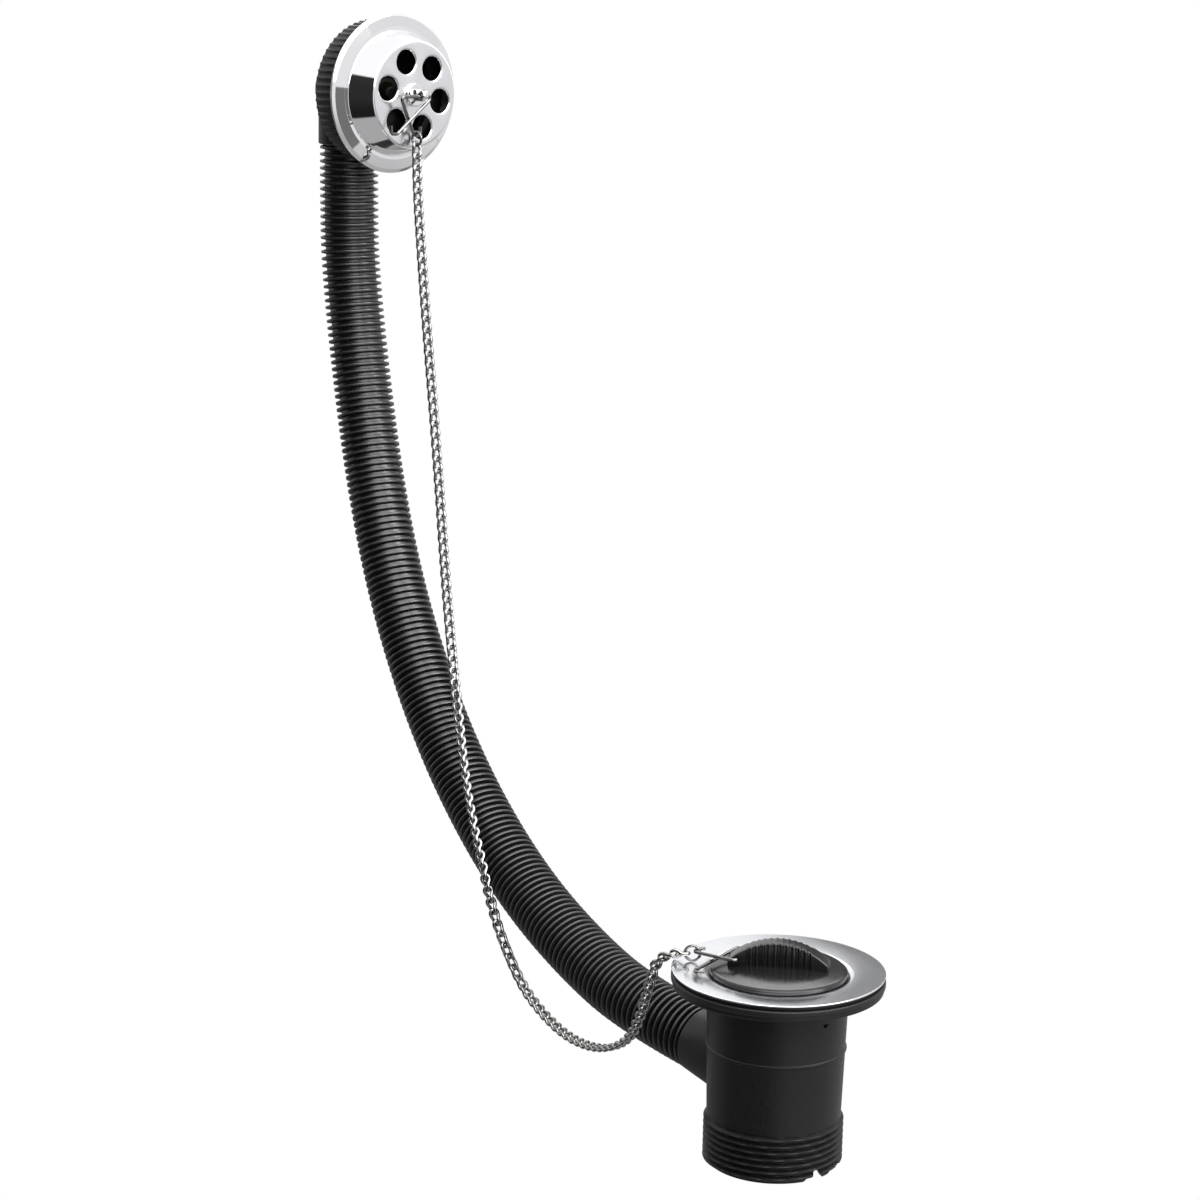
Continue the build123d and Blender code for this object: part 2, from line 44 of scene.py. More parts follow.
class Sock:
    def __init__(self, net, socket):
        self.net = net
        self.socket = socket

    def maths(self, operation, *others, flip=False):
        values = list(others) + [self] if flip else [self] + list(others)
        return self.net.make("ShaderNodeMath", dict(enumerate(values)), operation=operation)

    def __add__(self, other):
        return self.maths("ADD", other)

    def __radd__(self, other):
        return self.maths("ADD", other, flip=True)

    def __sub__(self, other):
        return self.maths("SUBTRACT", other)

    def __rsub__(self, other):
        return self.maths("SUBTRACT", other, flip=True)

    def __mul__(self, other):
        return self.maths("MULTIPLY", other)

    def __rmul__(self, other):
        return self.maths("MULTIPLY", other, flip=True)

    def __truediv__(self, other):
        return self.maths("DIVIDE", other)

    def __rtruediv__(self, other):
        return self.maths("DIVIDE", other, flip=True)

    def __abs__(self):
        return self.maths("ABSOLUTE")

    def ramp(self, low, high, start=0.0, end=1.0):
        values = {"Value": self, "From Min": low, "From Max": high, "To Min": start, "To Max": end}
        return self.net.make("ShaderNodeMapRange", values, interpolation_type="SMOOTHSTEP")


class Net:
    def __init__(self, tree):
        self.tree = tree

    def make(self, kind, inputs=None, output=0, **settings):
        node = self.tree.nodes.new(kind)
        for name, value in settings.items():
            setattr(node, name, value)
        for name, value in (inputs or {}).items():
            if isinstance(value, Sock):
                self.tree.links.new(value.socket, node.inputs[name])
            else:
                node.inputs[name].default_value = value
        return Sock(self, node.outputs[output])

    def into(self, sock, node, name):
        self.tree.links.new(sock.socket, node.inputs[name])


def blankMaterial(name):
    material = bpy.data.materials.new(name)
    material.use_nodes = True
    net = Net(material.node_tree)
    surface = material.node_tree.nodes["Principled BSDF"]
    return material, net, surface


def splitAxes(net, vector):
    split = net.make("ShaderNodeSeparateXYZ", {0: vector}).socket.node
    return [Sock(net, output) for output in split.outputs]


def position(net):
    coords = net.make("ShaderNodeTexCoord", output="Object")
    return coords, splitAxes(net, coords)


def grain(net, surface, scale, strength, distance):
    coords, parts = position(net)
    noise = net.make("ShaderNodeTexNoise", {"Vector": coords, "Scale": scale, "Detail": 3.0})
    bump = net.make("ShaderNodeBump", {"Height": noise, "Strength": strength, "Distance": distance})
    net.into(bump, surface, "Normal")
    return noise


def mixColor(net, factor, first, second):
    # sockets 6 and 7, and output 2, are the node's colours
    return net.make("ShaderNodeMix", {0: factor, 6: first, 7: second}, output=2, data_type="RGBA")


noiseSpan = (0.3, 0.7)      # where most values of the noise lie
grainDepth = {"plastic": 0.0002, "metal": 0.0001}
roughSwing = {"plastic": 0.04, "metal": 0.15}


def makePlastic(name, look):
    material, net, surface = blankMaterial(name)
    noise = grain(net, surface, look["grain"], look["bump"], grainDepth["plastic"])
    color = mixColor(net, noise, look["dark"], look["light"])
    net.into(color, surface, "Base Color")
    swing = roughSwing["plastic"]
    net.into(noise.ramp(*noiseSpan, look["rough"] - swing, look["rough"] + swing), surface, "Roughness")
    surface.inputs["Specular IOR Level"].default_value = look["specular"]
    return material


def makeMetal(name, look):
    material, net, surface = blankMaterial(name)
    noise = grain(net, surface, look["grain"], look["bump"], grainDepth["metal"])
    surface.inputs["Base Color"].default_value = look["color"]
    surface.inputs["Metallic"].default_value = 1.0
    swing = look["rough"] * roughSwing["metal"]
    net.into(noise.ramp(*noiseSpan, look["rough"] - swing, look["rough"] + swing), surface, "Roughness")
    return material


looks = {
    "body": {"dark": (0.0062, 0.0062, 0.0067, 1), "light": (0.0088, 0.0088, 0.0093, 1), "rough": 0.42,
             "specular": 0.42, "grain": 900.0, "bump": 0.08},
    "hose": {"dark": (0.0050, 0.0050, 0.0054, 1), "light": (0.0080, 0.0080, 0.0085, 1), "rough": 0.36,
             "specular": 0.95, "grain": 700.0, "bump": 0.03},
    "washer": {"dark": (0.0085, 0.0085, 0.0095, 1), "light": (0.0125, 0.0125, 0.0135, 1), "rough": 0.45,
               "specular": 0.42, "grain": 1100.0, "bump": 0.10},
    "plug": {"dark": (0.0130, 0.0133, 0.0140, 1), "light": (0.0170, 0.0174, 0.0182, 1), "rough": 0.21,
             "specular": 0.5, "grain": 1200.0, "bump": 0.008},
    "wire": {"color": (0.21, 0.208, 0.203, 1), "rough": 0.10, "grain": 1500.0, "bump": 0.02},
    "chain": {"color": (0.38, 0.377, 0.37, 1), "rough": 0.22, "grain": 1500.0, "bump": 0.02},
    "stay": {"color": (0.88, 0.88, 0.89, 1), "rough": 0.08, "grain": 600.0, "bump": 0.01},
    # the brass nuts: colour painted almost black, as painted shade for the hollows they sit in
    "brass": {"color": (0.016, 0.012, 0.007, 1), "rough": 0.75, "grain": 900.0, "bump": 0.03},
    "screw": {"color": (0.60, 0.60, 0.60, 1), "rough": 0.25, "grain": 900.0, "bump": 0.03},
}
materials = {}
for key in ("body", "hose", "washer", "plug"):
    materials[key] = makePlastic(key, looks[key])
for key in ("wire", "chain", "stay", "brass", "screw"):
    materials[key] = makeMetal(key, looks[key])

# Rose: mirror chrome on the rim, the cup and the edges of the holes, satin on the face
roseFinish = {
    "mirror": (0.93, 0.93, 0.95, 1), "satin": (0.80, 0.80, 0.83, 1), "rough": 0.05, "satinRough": 0.20,
    "faceStart": -0.23932, "faceEnd": -0.23924,
}


def makeRoseChrome(look):
    material, net, surface = blankMaterial("rose")
    coords, (x, y, z) = position(net)
    onFace = x.ramp(look["faceStart"], look["faceEnd"])
    surface.inputs["Metallic"].default_value = 1.0
    net.into(mixColor(net, onFace, look["mirror"], look["satin"]), surface, "Base Color")
    net.into(onFace * look["satinRough"] + look["rough"], surface, "Roughness")
    return material


# Flange: satin chrome, with fine marks turned round the axis
flangeFinish = {"color": (0.82, 0.83, 0.86, 1), "marks": 2600.0, "smooth": 0.17, "marked": 0.21}


def makeFlangeChrome(look):
    material, net, surface = blankMaterial("flange")
    coords, (x, y, z) = position(net)
    reach = (x * x + y * y).maths("SQRT")
    turned = {"W": reach, "Scale": look["marks"], "Detail": 1.0}
    marks = net.make("ShaderNodeTexNoise", turned, noise_dimensions="1D")
    surface.inputs["Metallic"].default_value = 1.0
    surface.inputs["Base Color"].default_value = look["color"]
    net.into(marks.ramp(*noiseSpan, look["smooth"], look["marked"]), surface, "Roughness")
    return material


materials["rose"] = makeRoseChrome(roseFinish)
materials["flange"] = makeFlangeChrome(flangeFinish)
print("stage: materials")

# Camera at the photograph's place
view = {
    "place": (0.67354, -0.72663, 0.34969),
    "right": (0.684927, 0.728287, 0.021752),
    "up": (-0.175143, 0.135589, 0.975162),
    "forward": (-0.707248, 0.671724, -0.220423),
    "lens": 92.609,
    "sensor": 36,
    "near": 0.01,
}
cameraData = bpy.data.cameras.new("camera")
cameraData.sensor_width = view["sensor"]
cameraData.lens = view["lens"]
cameraData.clip_start = view["near"]
camera = bpy.data.objects.new("camera", cameraData)
cameraTurn = Matrix((view["right"], view["up"], [-v for v in view["forward"]])).transposed()
camera.matrix_world = Matrix.Translation(view["place"]) @ cameraTurn.to_4x4()
scene.collection.objects.link(camera)
scene.camera = camera
print("stage: camera")


def addObject(name, data, material=None):
    piece = bpy.data.objects.new(name, data)
    scene.collection.objects.link(piece)
    if material is not None:
        data.materials.clear()
        data.materials.append(materials[material])
    return piece


weldGap = 1e-8              # metres between points that are one
edgeAngle = 40              # degrees past which an edge shades sharp


def addMesh(name, verts, faces, material, sharp=edgeAngle, merge=weldGap):
    mesh = bpy.data.meshes.new(name)
    mesh.from_pydata([tuple(v) for v in verts], [], faces)
    faceOut(mesh, merge)
    smoothen(mesh, sharp)
    return addObject(name, mesh, material)


def faceOut(mesh, merge):
    work = bmesh.new()
    work.from_mesh(mesh)
    bmesh.ops.remove_doubles(work, verts=work.verts, dist=merge)
    bmesh.ops.recalc_face_normals(work, faces=work.faces)
    work.to_mesh(mesh)
    work.free()


def smoothen(mesh, sharp):
    mesh.polygons.foreach_set("use_smooth", [True] * len(mesh.polygons))
    mesh.set_sharp_from_angle(angle=math.radians(sharp))


def baked(piece):
    # the evaluated mesh takes the place of the modifiers
    graph = bpy.context.evaluated_depsgraph_get()
    mesh = bpy.data.meshes.new_from_object(piece.evaluated_get(graph))
    mesh.name = piece.name
    piece.modifiers.clear()
    return mesh


def remove(*pieces):
    for piece in pieces:
        bpy.data.objects.remove(piece)


def cut(piece, cutters, operation="DIFFERENCE", sharp=edgeAngle):
    for cutter in cutters:
        modifier = piece.modifiers.new("cut", "BOOLEAN")
        modifier.operation = operation
        modifier.object = cutter
        modifier.solver = "EXACT"
    piece.data = baked(piece)
    smoothen(piece.data, sharp)
    remove(*cutters)
    return piece


def joined(name, pieces, material):
    verts, faces = [], []
    for piece in pieces:
        start = len(verts)
        verts += [piece.matrix_world @ v.co for v in piece.data.vertices]
        faces += [[start + i for i in f.vertices] for f in piece.data.polygons]
    remove(*pieces)
    return addMesh(name, verts, faces, material)


def rounded(points, rounds, steps=6, closed=True):
    # corner points with arcs of the given radii
    result = []
    count = len(points)
    for i, point in enumerate(points):
        radius = rounds.get(i, 0)
        here = np.array(point, float)
        if radius == 0 or (not closed and i in (0, count - 1)):
            result.append(here)
            continue
        a = np.array(points[i - 1], float) - here
        b = np.array(points[(i + 1) % count], float) - here
        a /= np.linalg.norm(a)
        b /= np.linalg.norm(b)
        half = math.acos(np.clip(a @ b, -1, 1)) / 2
        middle = (a + b) / np.linalg.norm(a + b)
        center = here + middle * radius / math.sin(half)
        first = here + a * radius / math.tan(half) - center
        last = here + b * radius / math.tan(half) - center
        span = math.pi - 2 * half
        for k in range(steps + 1):
            t = k / steps
            arc = (math.sin((1 - t) * span) * first + math.sin(t * span) * last) / math.sin(span)
            result.append(center + arc)
    return result


poleRadius = 0.01           # millimetres, merged into one point
poleMerge = 2.2e-5          # metres, past the width of a pole


def lathe(name, profile, material, steps, place=None, wave=None, sharp=edgeAngle):
    # (radius, height) profile in millimetres turned about Z, then put in place
    place = place or Matrix.Identity(4)
    rows = len(profile)
    verts, faces = [], []
    for i in range(steps):
        angle = 2 * math.pi * i / steps
        for r, h in profile:
            if wave:
                r = wave(angle, r, h)
            verts.append(place @ Vector((r * math.cos(angle) * mm, r * math.sin(angle) * mm, h * mm)))
    for i in range(steps):
        j = (i + 1) % steps
        for k in range(rows):
            m = (k + 1) % rows
            faces.append((i * rows + k, j * rows + k, j * rows + m, i * rows + m))
    return addMesh(name, verts, faces, material, sharp, poleMerge)


def aimed(start, ahead):
    # a place at a point in millimetres, with its Z along a direction
    turn = Vector(ahead).to_track_quat("Z", "Y").to_matrix().to_4x4()
    return Matrix.Translation(Vector(start) * mm) @ turn


def rod(name, radius, start, end, steps=48):
    ahead = Vector(end) - Vector(start)
    profile = [(poleRadius, 0), (radius, 0), (radius, ahead.length), (poleRadius, ahead.length)]
    return lathe(name, profile, None, steps, aimed(start, ahead))


def skin(rings, count):
    # quads between neighbouring rings of points, and a cap at each end
    faces = [tuple(reversed(range(count))), tuple(range((rings - 1) * count, rings * count))]
    for i in range(rings - 1):
        for k in range(count):
            n = (k + 1) % count
            faces.append((i * count + k, i * count + n, (i + 1) * count + n, (i + 1) * count + k))
    return faces


boxFaces = [(0, 1, 3, 2), (4, 6, 7, 5), (0, 4, 5, 1), (2, 3, 7, 6), (0, 2, 6, 4), (1, 5, 7, 3)]


def makeSpider(look, place):
    # boss and arms that hold a brass nut
    boss = rounded(look["boss"], {1: look["round"], 2: look["round"]}, 3)
    parts = [lathe("boss", boss, None, 64, place)]
    sides = (-look["half"], look["half"])
    for k in range(look["arms"]):
        spin = place @ Matrix.Rotation(math.radians(look["first"] + 360 * k / look["arms"]), 4, "Z")
        corners = [(x, y, z) for x in look["reach"] for y in sides for z in look["levels"]]
        parts.append(addMesh("arm", [spin @ (Vector(c) * mm) for c in corners], boxFaces, None))
    return parts


def settle(piece, nodes):
    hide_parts(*nodes)
    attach(piece, "root")
    return piece


sizeKinds = {float: "NodeSocketFloat", int: "NodeSocketInt", tuple: "NodeSocketVector"}


def nodeGroup(name, sizes):
    # a tree with a geometry input and a named input for each size
    tree = bpy.data.node_groups.new(name, "GeometryNodeTree")
    tree.interface.new_socket("Geometry", in_out="INPUT", socket_type="NodeSocketGeometry")
    for label, value in sizes.items():
        tree.interface.new_socket(label, in_out="INPUT", socket_type=sizeKinds[type(value)])
    tree.interface.new_socket("Geometry", in_out="OUTPUT", socket_type="NodeSocketGeometry")
    net = Net(tree)
    given = tree.nodes.new("NodeGroupInput")
    return net, {socket.name: Sock(net, socket) for socket in given.outputs if socket.name}


def closeGroup(net, geometry, material):
    realized = net.make("GeometryNodeRealizeInstances", {"Geometry": geometry})
    smooth = net.make("GeometryNodeSetShadeSmooth", {"Geometry": realized})
    painted = net.make("GeometryNodeSetMaterial", {"Geometry": smooth, "Material": materials[material]})
    net.into(painted, net.tree.nodes.new("NodeGroupOutput"), 0)


def grown(piece, net, sizes, sharp=50):
    # the sizes go in by socket identifier, before the tree is first evaluated
    modifier = piece.modifiers.new("grow", "NODES")
    modifier.node_group = net.tree
    for item in net.tree.interface.items_tree:
        if item.in_out == "INPUT" and item.name in sizes:
            modifier[item.identifier] = sizes[item.name]
    mesh = baked(piece)
    faceOut(mesh, weldGap)
    smoothen(mesh, sharp)
    return mesh


def tube(net, curve, radius, sides):
    ring = net.make("GeometryNodeCurvePrimitiveCircle", {"Resolution": sides, "Radius": radius})
    return net.make("GeometryNodeCurveToMesh", {"Curve": curve, "Profile Curve": ring, "Fill Caps": True})


def pathCurve(name, points, kind="POLY", cyclic=False):
    curve = bpy.data.curves.new(name, "CURVE")
    curve.dimensions = "3D"
    curve.resolution_u = 24
    spline = curve.splines.new(kind)
    spline.points.add(len(points) - 1)
    for point, place in zip(spline.points, points):
        point.co = [v * mm for v in place] + [1.0]
    spline.use_cyclic_u = cyclic
    if kind == "NURBS":
        spline.order_u = 3
        spline.use_endpoint_u = True
    return addObject(name, curve)


def routeLine(curveObject):
    graph = bpy.context.evaluated_depsgraph_get()
    mesh = bpy.data.meshes.new_from_object(curveObject.evaluated_get(graph))
    line = np.array([v.co[:] for v in mesh.vertices])
    bpy.data.meshes.remove(mesh)
    return line


def along(line, distances):
    steps = np.linalg.norm(np.diff(line, axis=0), axis=1)
    total = np.concatenate([[0], np.cumsum(steps)])
    return np.stack([np.interp(distances, total, line[:, i]) for i in range(3)], -1), float(total[-1])


# Chain: the same route as the solids, with curb links along it
chain = {
    "route": [
        (-235.816, 35.498, 258.29), (-232.4, 33.0, 244.0), (-225.5, 29.3, 222.0), (-218.0, 26.2, 192.0),
        (-204.6, 20.8, 144.0), (-191.9, 15.6, 90.0), (-178.2, 9.5, 53.5), (-165.7, 3.3, 28.6),
        (-154.3, -1.9, 12.7), (-145.6, -3.8, -4.3), (-142.0, -2.2, -18.4), (-138.2, 1.6, -33.0),
        (-129.0, 1.0, -43.0), (-115.0, -2.0, -48.2), (-98.0, -6.4, -50.6), (-80.0, -11.5, -48.6),
        (-64.0, -16.0, -43.4), (-51.5, -19.6, -35.6), (-44.0, -22.3, -26.0), (-40.0, -23.3, -17.4),
        (-37.2, -23.9, -9.2), (-35.4, -23.9, -2.6), (-32.9, -22.8, 0.8), (-29.7, -20.8, 2.4),
        (-26.204, -17.877, 2.524),
    ],
    "links": 103,
    "wire": 0.66,
    "sides": 10,
    "end": 1.40,
    "pitch": 4.46,
    "slack": 0.24,
    "endSteps": 10,
    "sideSteps": 6,
    "twist": math.radians(30),
    "turn": math.radians(-22.3),
    "roll": math.radians(95),       # the links turn edge-on where they pass the hose
    "rolled": (0.36, 0.74),         # where that starts and ends, as parts of the chain
}


def linkLine(look):
    # closed centreline of one curb link
    r = look["end"]
    span = look["pitch"] + 2 * look["wire"] + look["slack"] - 2 * r
    rise = r * math.sin(look["twist"])
    wide = r * math.cos(look["twist"])
    bend = (span**2 + 4 * rise**2) / (8 * rise)
    sweep = math.asin(span / 2 / bend)
    turns = [math.pi * k / look["endSteps"] for k in range(look["endSteps"])]
    tilts = [sweep * k / look["sideSteps"] for k in range(look["sideSteps"] + 1)]
    half = [(bend * math.sin(t), bend * (1 - math.cos(t))) for t in tilts]
    points = [(span / 2 + r * math.sin(a), -wide * math.cos(a), -rise * math.cos(a)) for a in turns]
    for side in (1, -1):
        line = [(side * (span / 2 - x), side * wide, rise - z) for x, z in half[:-1]]
        line += [(side * (x - span / 2), side * wide, z - rise) for x, z in reversed(half)]
        points += line[:-1]
        if side == 1:
            points += [(-span / 2 - r * math.sin(a), wide * math.cos(a), -rise * math.cos(a)) for a in turns]
    return np.array(points)


def makeChain(look):
    route = pathCurve("chainRoute", look["route"], "NURBS")
    line = routeLine(route)
    length = along(line, [0])[1]
    joints = along(line, np.linspace(0, length, look["links"] + 1))[0]
    remove(route)
    aheads = np.diff(joints, axis=0)
    aheads /= np.linalg.norm(aheads, axis=1)[:, None]
    spin = Matrix.Rotation(look["twist"], 3, Vector(aheads[0]))
    width = np.array(spin @ Vector((0, 1, 0)))
    widths = []
    for i, ahead in enumerate(aheads):
        width = width - ahead * (width @ ahead)
        width /= np.linalg.norm(width)
        part = i / (len(aheads) - 1)
        first, last = look["rolled"]
        swell = math.sin(math.pi * min(max((part - first) / (last - first), 0.0), 1.0)) ** 2
        angle = look["turn"] * part + look["roll"] * swell
        widths.append(np.array(Matrix.Rotation(angle, 3, Vector(ahead)) @ Vector(width)))
    points = bpy.data.meshes.new("curbChain")
    points.from_pydata([tuple(p) for p in (joints[1:] + joints[:-1]) / 2], [], [])
    for name, values in (("ahead", aheads), ("width", np.array(widths))):
        points.attributes.new(name, "FLOAT_VECTOR", "POINT").data.foreach_set("vector", values.ravel())
    piece = addObject("curbChain", points)
    link = pathCurve("link", linkLine(look), cyclic=True)
    sizes = {"Wire Radius": look["wire"] * mm, "Wire Sides": look["sides"]}
    net, given = nodeGroup("chainLinks", sizes)
    ahead = net.make("GeometryNodeInputNamedAttribute", {"Name": "ahead"}, data_type="FLOAT_VECTOR")
    across = net.make("GeometryNodeInputNamedAttribute", {"Name": "width"}, data_type="FLOAT_VECTOR")
    axes = {"Primary Axis": ahead, "Secondary Axis": across}
    turn = net.make("FunctionNodeAxesToRotation", axes, primary_axis="X", secondary_axis="Y")
    shape = net.make("GeometryNodeObjectInfo", {"Object": link}, output="Geometry")
    wire = tube(net, shape, given["Wire Radius"], given["Wire Sides"])
    places = {"Points": given["Geometry"], "Instance": wire, "Rotation": turn}
    closeGroup(net, net.make("GeometryNodeInstanceOnPoints", places), "chain")
    piece.data = grown(piece, net, sizes)
    remove(link)
    return piece, line, length


chainPiece, chainLine, chainLength = makeChain(chain)
print("stage: chain", round(chainLength, 4), len(chainPiece.data.polygons))

# Hose: ridges along the same route as the solids
hose = {
    "route": [
        (-278.6, 37.0, 255.5), (-278.6, 37.0, 225.5), (-276.8, 36.8, 205.0), (-270.5, 35.9, 172.5),
        (-258.0, 32.8, 131.6), (-242.0, 28.6, 96.2), (-222.0, 24.3, 64.4), (-196.0, 19.0, 34.2),
        (-166.0, 13.4, 9.4), (-134.0, 8.0, -9.6), (-100.0, 3.4, -23.2), (-67.563, 0.0, -31.602),
        (-35.769, 0.0, -35.225),
    ],
    "ridges": 157,
    "root": 9.6,
    "ridge": 11.45,
    "top": 0.55,
    "foot": 0.85,
    "crown": 0.12,
    "rows": 12,
    "sides": 40,
}


def makeHose(look):
    path = pathCurve("hosePath", look["route"], "NURBS")
    length = along(routeLine(path), [0])[1]
    sizes = {
        "Samples": look["ridges"] * look["rows"] + 1, "Sides": look["sides"],
        "Ridge Step": length / look["ridges"], "Ridge Radius": look["ridge"] * mm,
        "Root Radius": look["root"] * mm, "Half Top": look["top"] * mm, "Half Foot": look["foot"] * mm,
        "Crown": look["crown"] * mm,
    }
    net, given = nodeGroup("hoseRidges", sizes)
    even = net.make("GeometryNodeResampleCurve", {"Curve": given["Geometry"], "Count": given["Samples"]})
    travelled = net.make("GeometryNodeSplineParameter", output="Length")
    offset = abs((travelled / given["Ridge Step"]).maths("FRACT") - 0.5) * given["Ridge Step"]
    ridge = offset.ramp(given["Half Top"], given["Half Foot"], given["Ridge Radius"], given["Root Radius"])
    reach = (offset / given["Half Top"]).maths("MINIMUM", 1.0)
    fall = offset.ramp(given["Half Top"], given["Half Foot"], 1.0, 0.0)
    radius = ridge - reach * reach * given["Crown"] * fall
    ring = net.make("GeometryNodeCurvePrimitiveCircle", {"Resolution": given["Sides"], "Radius": 1.0})
    skin = {"Curve": even, "Profile Curve": ring, "Scale": radius, "Fill Caps": True}
    closeGroup(net, net.make("GeometryNodeCurveToMesh", skin), "hose")
    mesh = grown(path, net, sizes)
    remove(path)
    return addObject("hose", mesh)


hosePiece = settle(makeHose(hose), ["overflow_hose"])
print("stage: hose", len(hosePiece.data.polygons))

# Wire clips: one shape, hung from the chain stay and laid from the plug
clip = {
    "wire": 0.65, "sides": 14, "base": 16.0, "crossAlong": 4.4, "crossDrop": 8.4, "spread": 0.097,
    "hookDrop": 14.6, "tailDrop": 13.6, "hookWidth": 3.1, "hookReturn": 3.2, "bend": 0.95, "hookBend": 1.4,
    "bendSteps": 8, "ringShift": -0.1, "gap": 0.05, "rosePlace": (-234.4, 26.4, 276.4),
}
hookAt = clip["crossAlong"] * clip["hookDrop"] / clip["crossDrop"]
tailAt = clip["base"] - (clip["base"] - clip["crossAlong"]) / clip["crossDrop"] * clip["tailDrop"]
hookSide = -clip["spread"] * clip["hookDrop"]
tailSide = clip["spread"] * clip["tailDrop"]
clipCorners = [
    (tailAt - clip["hookWidth"], -clip["tailDrop"] + clip["hookReturn"], tailSide),
    (tailAt - clip["hookWidth"], -clip["tailDrop"], tailSide),
    (tailAt, -clip["tailDrop"], tailSide),
    (clip["base"], 0, 0),
    (0, 0, 0),
    (hookAt, -clip["hookDrop"], hookSide),
    (hookAt + clip["hookWidth"], -clip["hookDrop"], hookSide),
    (hookAt + clip["hookWidth"], -clip["hookDrop"] + clip["hookReturn"], hookSide),
]
clipRounds = {i: clip["bend"] if i in (3, 4) else clip["hookBend"] for i in range(1, 7)}
clipLine = np.array(rounded(clipCorners, clipRounds, clip["bendSteps"], closed=False))
hookMiddle = np.array((hookAt + clip["hookWidth"] / 2 + clip["ringShift"], -clip["hookDrop"], hookSide))

wireSizes = {"Wire Radius": clip["wire"] * mm, "Wire Sides": clip["sides"]}
wireNet, wireGiven = nodeGroup("bentWire", wireSizes)
wireTube = tube(wireNet, wireGiven["Geometry"], wireGiven["Wire Radius"], wireGiven["Wire Sides"])
closeGroup(wireNet, wireTube, "wire")


def bentWire(name, points, radius, cyclic):
    path = pathCurve(name, points, cyclic=cyclic)
    mesh = grown(path, wireNet, {**wireSizes, "Wire Radius": radius * mm})
    remove(path)
    return addObject(name, mesh)


def placedClip(name, origin, xAxis, zAxis):
    xAxis = np.array(xAxis, float)
    zAxis = np.array(zAxis, float)
    axes = np.stack([xAxis, np.cross(zAxis, xAxis), zAxis])
    hook = np.array(origin) + hookMiddle @ axes
    return bentWire(name, np.array(origin) + clipLine @ axes, clip["wire"], False), hook


ring = {"radius": 2.6, "wire": 0.5, "steps": 48}


def placedRing(name, center, normal):
    normal = Vector(normal)
    side = normal.orthogonal().normalized()
    up = normal.cross(side)
    angles = np.linspace(0, 2 * math.pi, ring["steps"], endpoint=False)
    circle = [Vector(center) + ring["radius"] * (math.cos(a) * side + math.sin(a) * up) for a in angles]
    return bentWire(name, circle, ring["wire"], True)


ringHang = ring["radius"] - ring["wire"] - clip["wire"] - clip["gap"]
roseClip, roseHook = placedClip("roseClip", clip["rosePlace"], (0, 1, 0), (1, 0, 0))
roseRing = placedRing("roseRing", roseHook - np.array((0, 0, ringHang)), (0, 1, 0))

# The plug's clip leaves the eye of the grip, and its ring leans on the flange's lip
grip = {
    "angle": math.radians(39), "eyeBack": 13.9, "eyeHeight": 4.1, "eyeSide": 6.5, "eyeRadius": 0.9,
    "eyeCut": 6,
}
lip = {"outer": 36.2, "inner": 24.6, "drop": 0.8, "lean": math.radians(45)}
gripDir = np.array((math.cos(grip["angle"]), math.sin(grip["angle"]), 0))
gripSide = np.array((gripDir[1], -gripDir[0], 0))
gripEye = np.array((0, 0, grip["eyeHeight"])) - gripDir * grip["eyeBack"]
ringAlong = grip["eyeBack"] + clip["hookDrop"] + ringHang
lipHeight = -lip["drop"] / (lip["outer"] - lip["inner"]) * (lip["outer"] - ringAlong)
ringHeight = lipHeight + ring["radius"] + ring["wire"] + clip["gap"]
hookHeight = ringHeight + ringHang * math.sin(lip["lean"])
clipTilt = math.asin((grip["eyeHeight"] - hookHeight - hookSide) / clip["hookDrop"])
clipUp = gripDir * math.sin(clipTilt) - np.array((0, 0, math.cos(clipTilt)))
plugClip, plugHook = placedClip("plugClip", gripEye + gripSide * grip["eyeSide"], -gripSide, clipUp)
ringLean = (gripDir + np.array((0, 0, 1))) * math.sin(lip["lean"])
plugRing = placedRing("plugRing", plugHook - ringLean * ringHang, gripSide)
wires = {"rose_clip": roseClip, "rose_ring": roseRing, "plug_clip": plugClip, "plug_ring": plugRing}
for node, piece in wires.items():
    settle(piece, [node])
settle(chainPiece, ["chain"])
print("stage: clips and rings")

# Waste flange: dish, lip, seat and grid
flange = {
    "profile": [(3.25, -8.0), (21.2, -8.0), (23.0, -2.0), (24.6, -0.8), (36.2, 0.0), (36.2, -0.6),
                (24.6, -1.4), (23.6, -2.3), (21.8, -9.0), (3.25, -9.0)],
    "rounds": {1: 0.4, 2: 0.8, 3: 4.0, 4: 0.25, 5: 0.25, 6: 0.8, 8: 0.6},
    "sides": 192, "gridHoles": 6, "gridCircle": 13.0, "gridRadius": 4.2, "gridCut": (-12, -5),
}
flangePiece = lathe("flange", rounded(flange["profile"], flange["rounds"]), "flange", flange["sides"])
gridHoles = []
for i in range(flange["gridHoles"]):
    a = 2 * math.pi * i / flange["gridHoles"]
    x, y = flange["gridCircle"] * math.cos(a), flange["gridCircle"] * math.sin(a)
    gridHoles.append(rod("gridHole", flange["gridRadius"], *[(x, y, z) for z in flange["gridCut"]]))
cut(flangePiece, [joined("gridHoles", gridHoles, None)])
settle(flangePiece, ["waste_flange"])

# Rubber rings under the flange
rubberRings = {
    "flange_seal": {
        "name": "flangeSeal", "profile": [(26.0, -2.0), (35.2, -2.0), (35.2, -0.719), (26.0, -1.353)],
        "rounds": {1: 0.3, 2: 0.2}, "steps": 4,
    },
    "body_washer": {
        "name": "bodyWasher", "profile": [(26.0, -4.3), (36.3, -4.3), (36.3, -2.0), (26.0, -2.0)],
        "rounds": {1: 0.6, 2: 0.6}, "steps": 5,
    },
}
rubberSides = 160
for node, look in rubberRings.items():
    line = rounded(look["profile"], look["rounds"], look["steps"])
    settle(lathe(look["name"], line, "washer", rubberSides), [node])
print("stage: flange and seals")

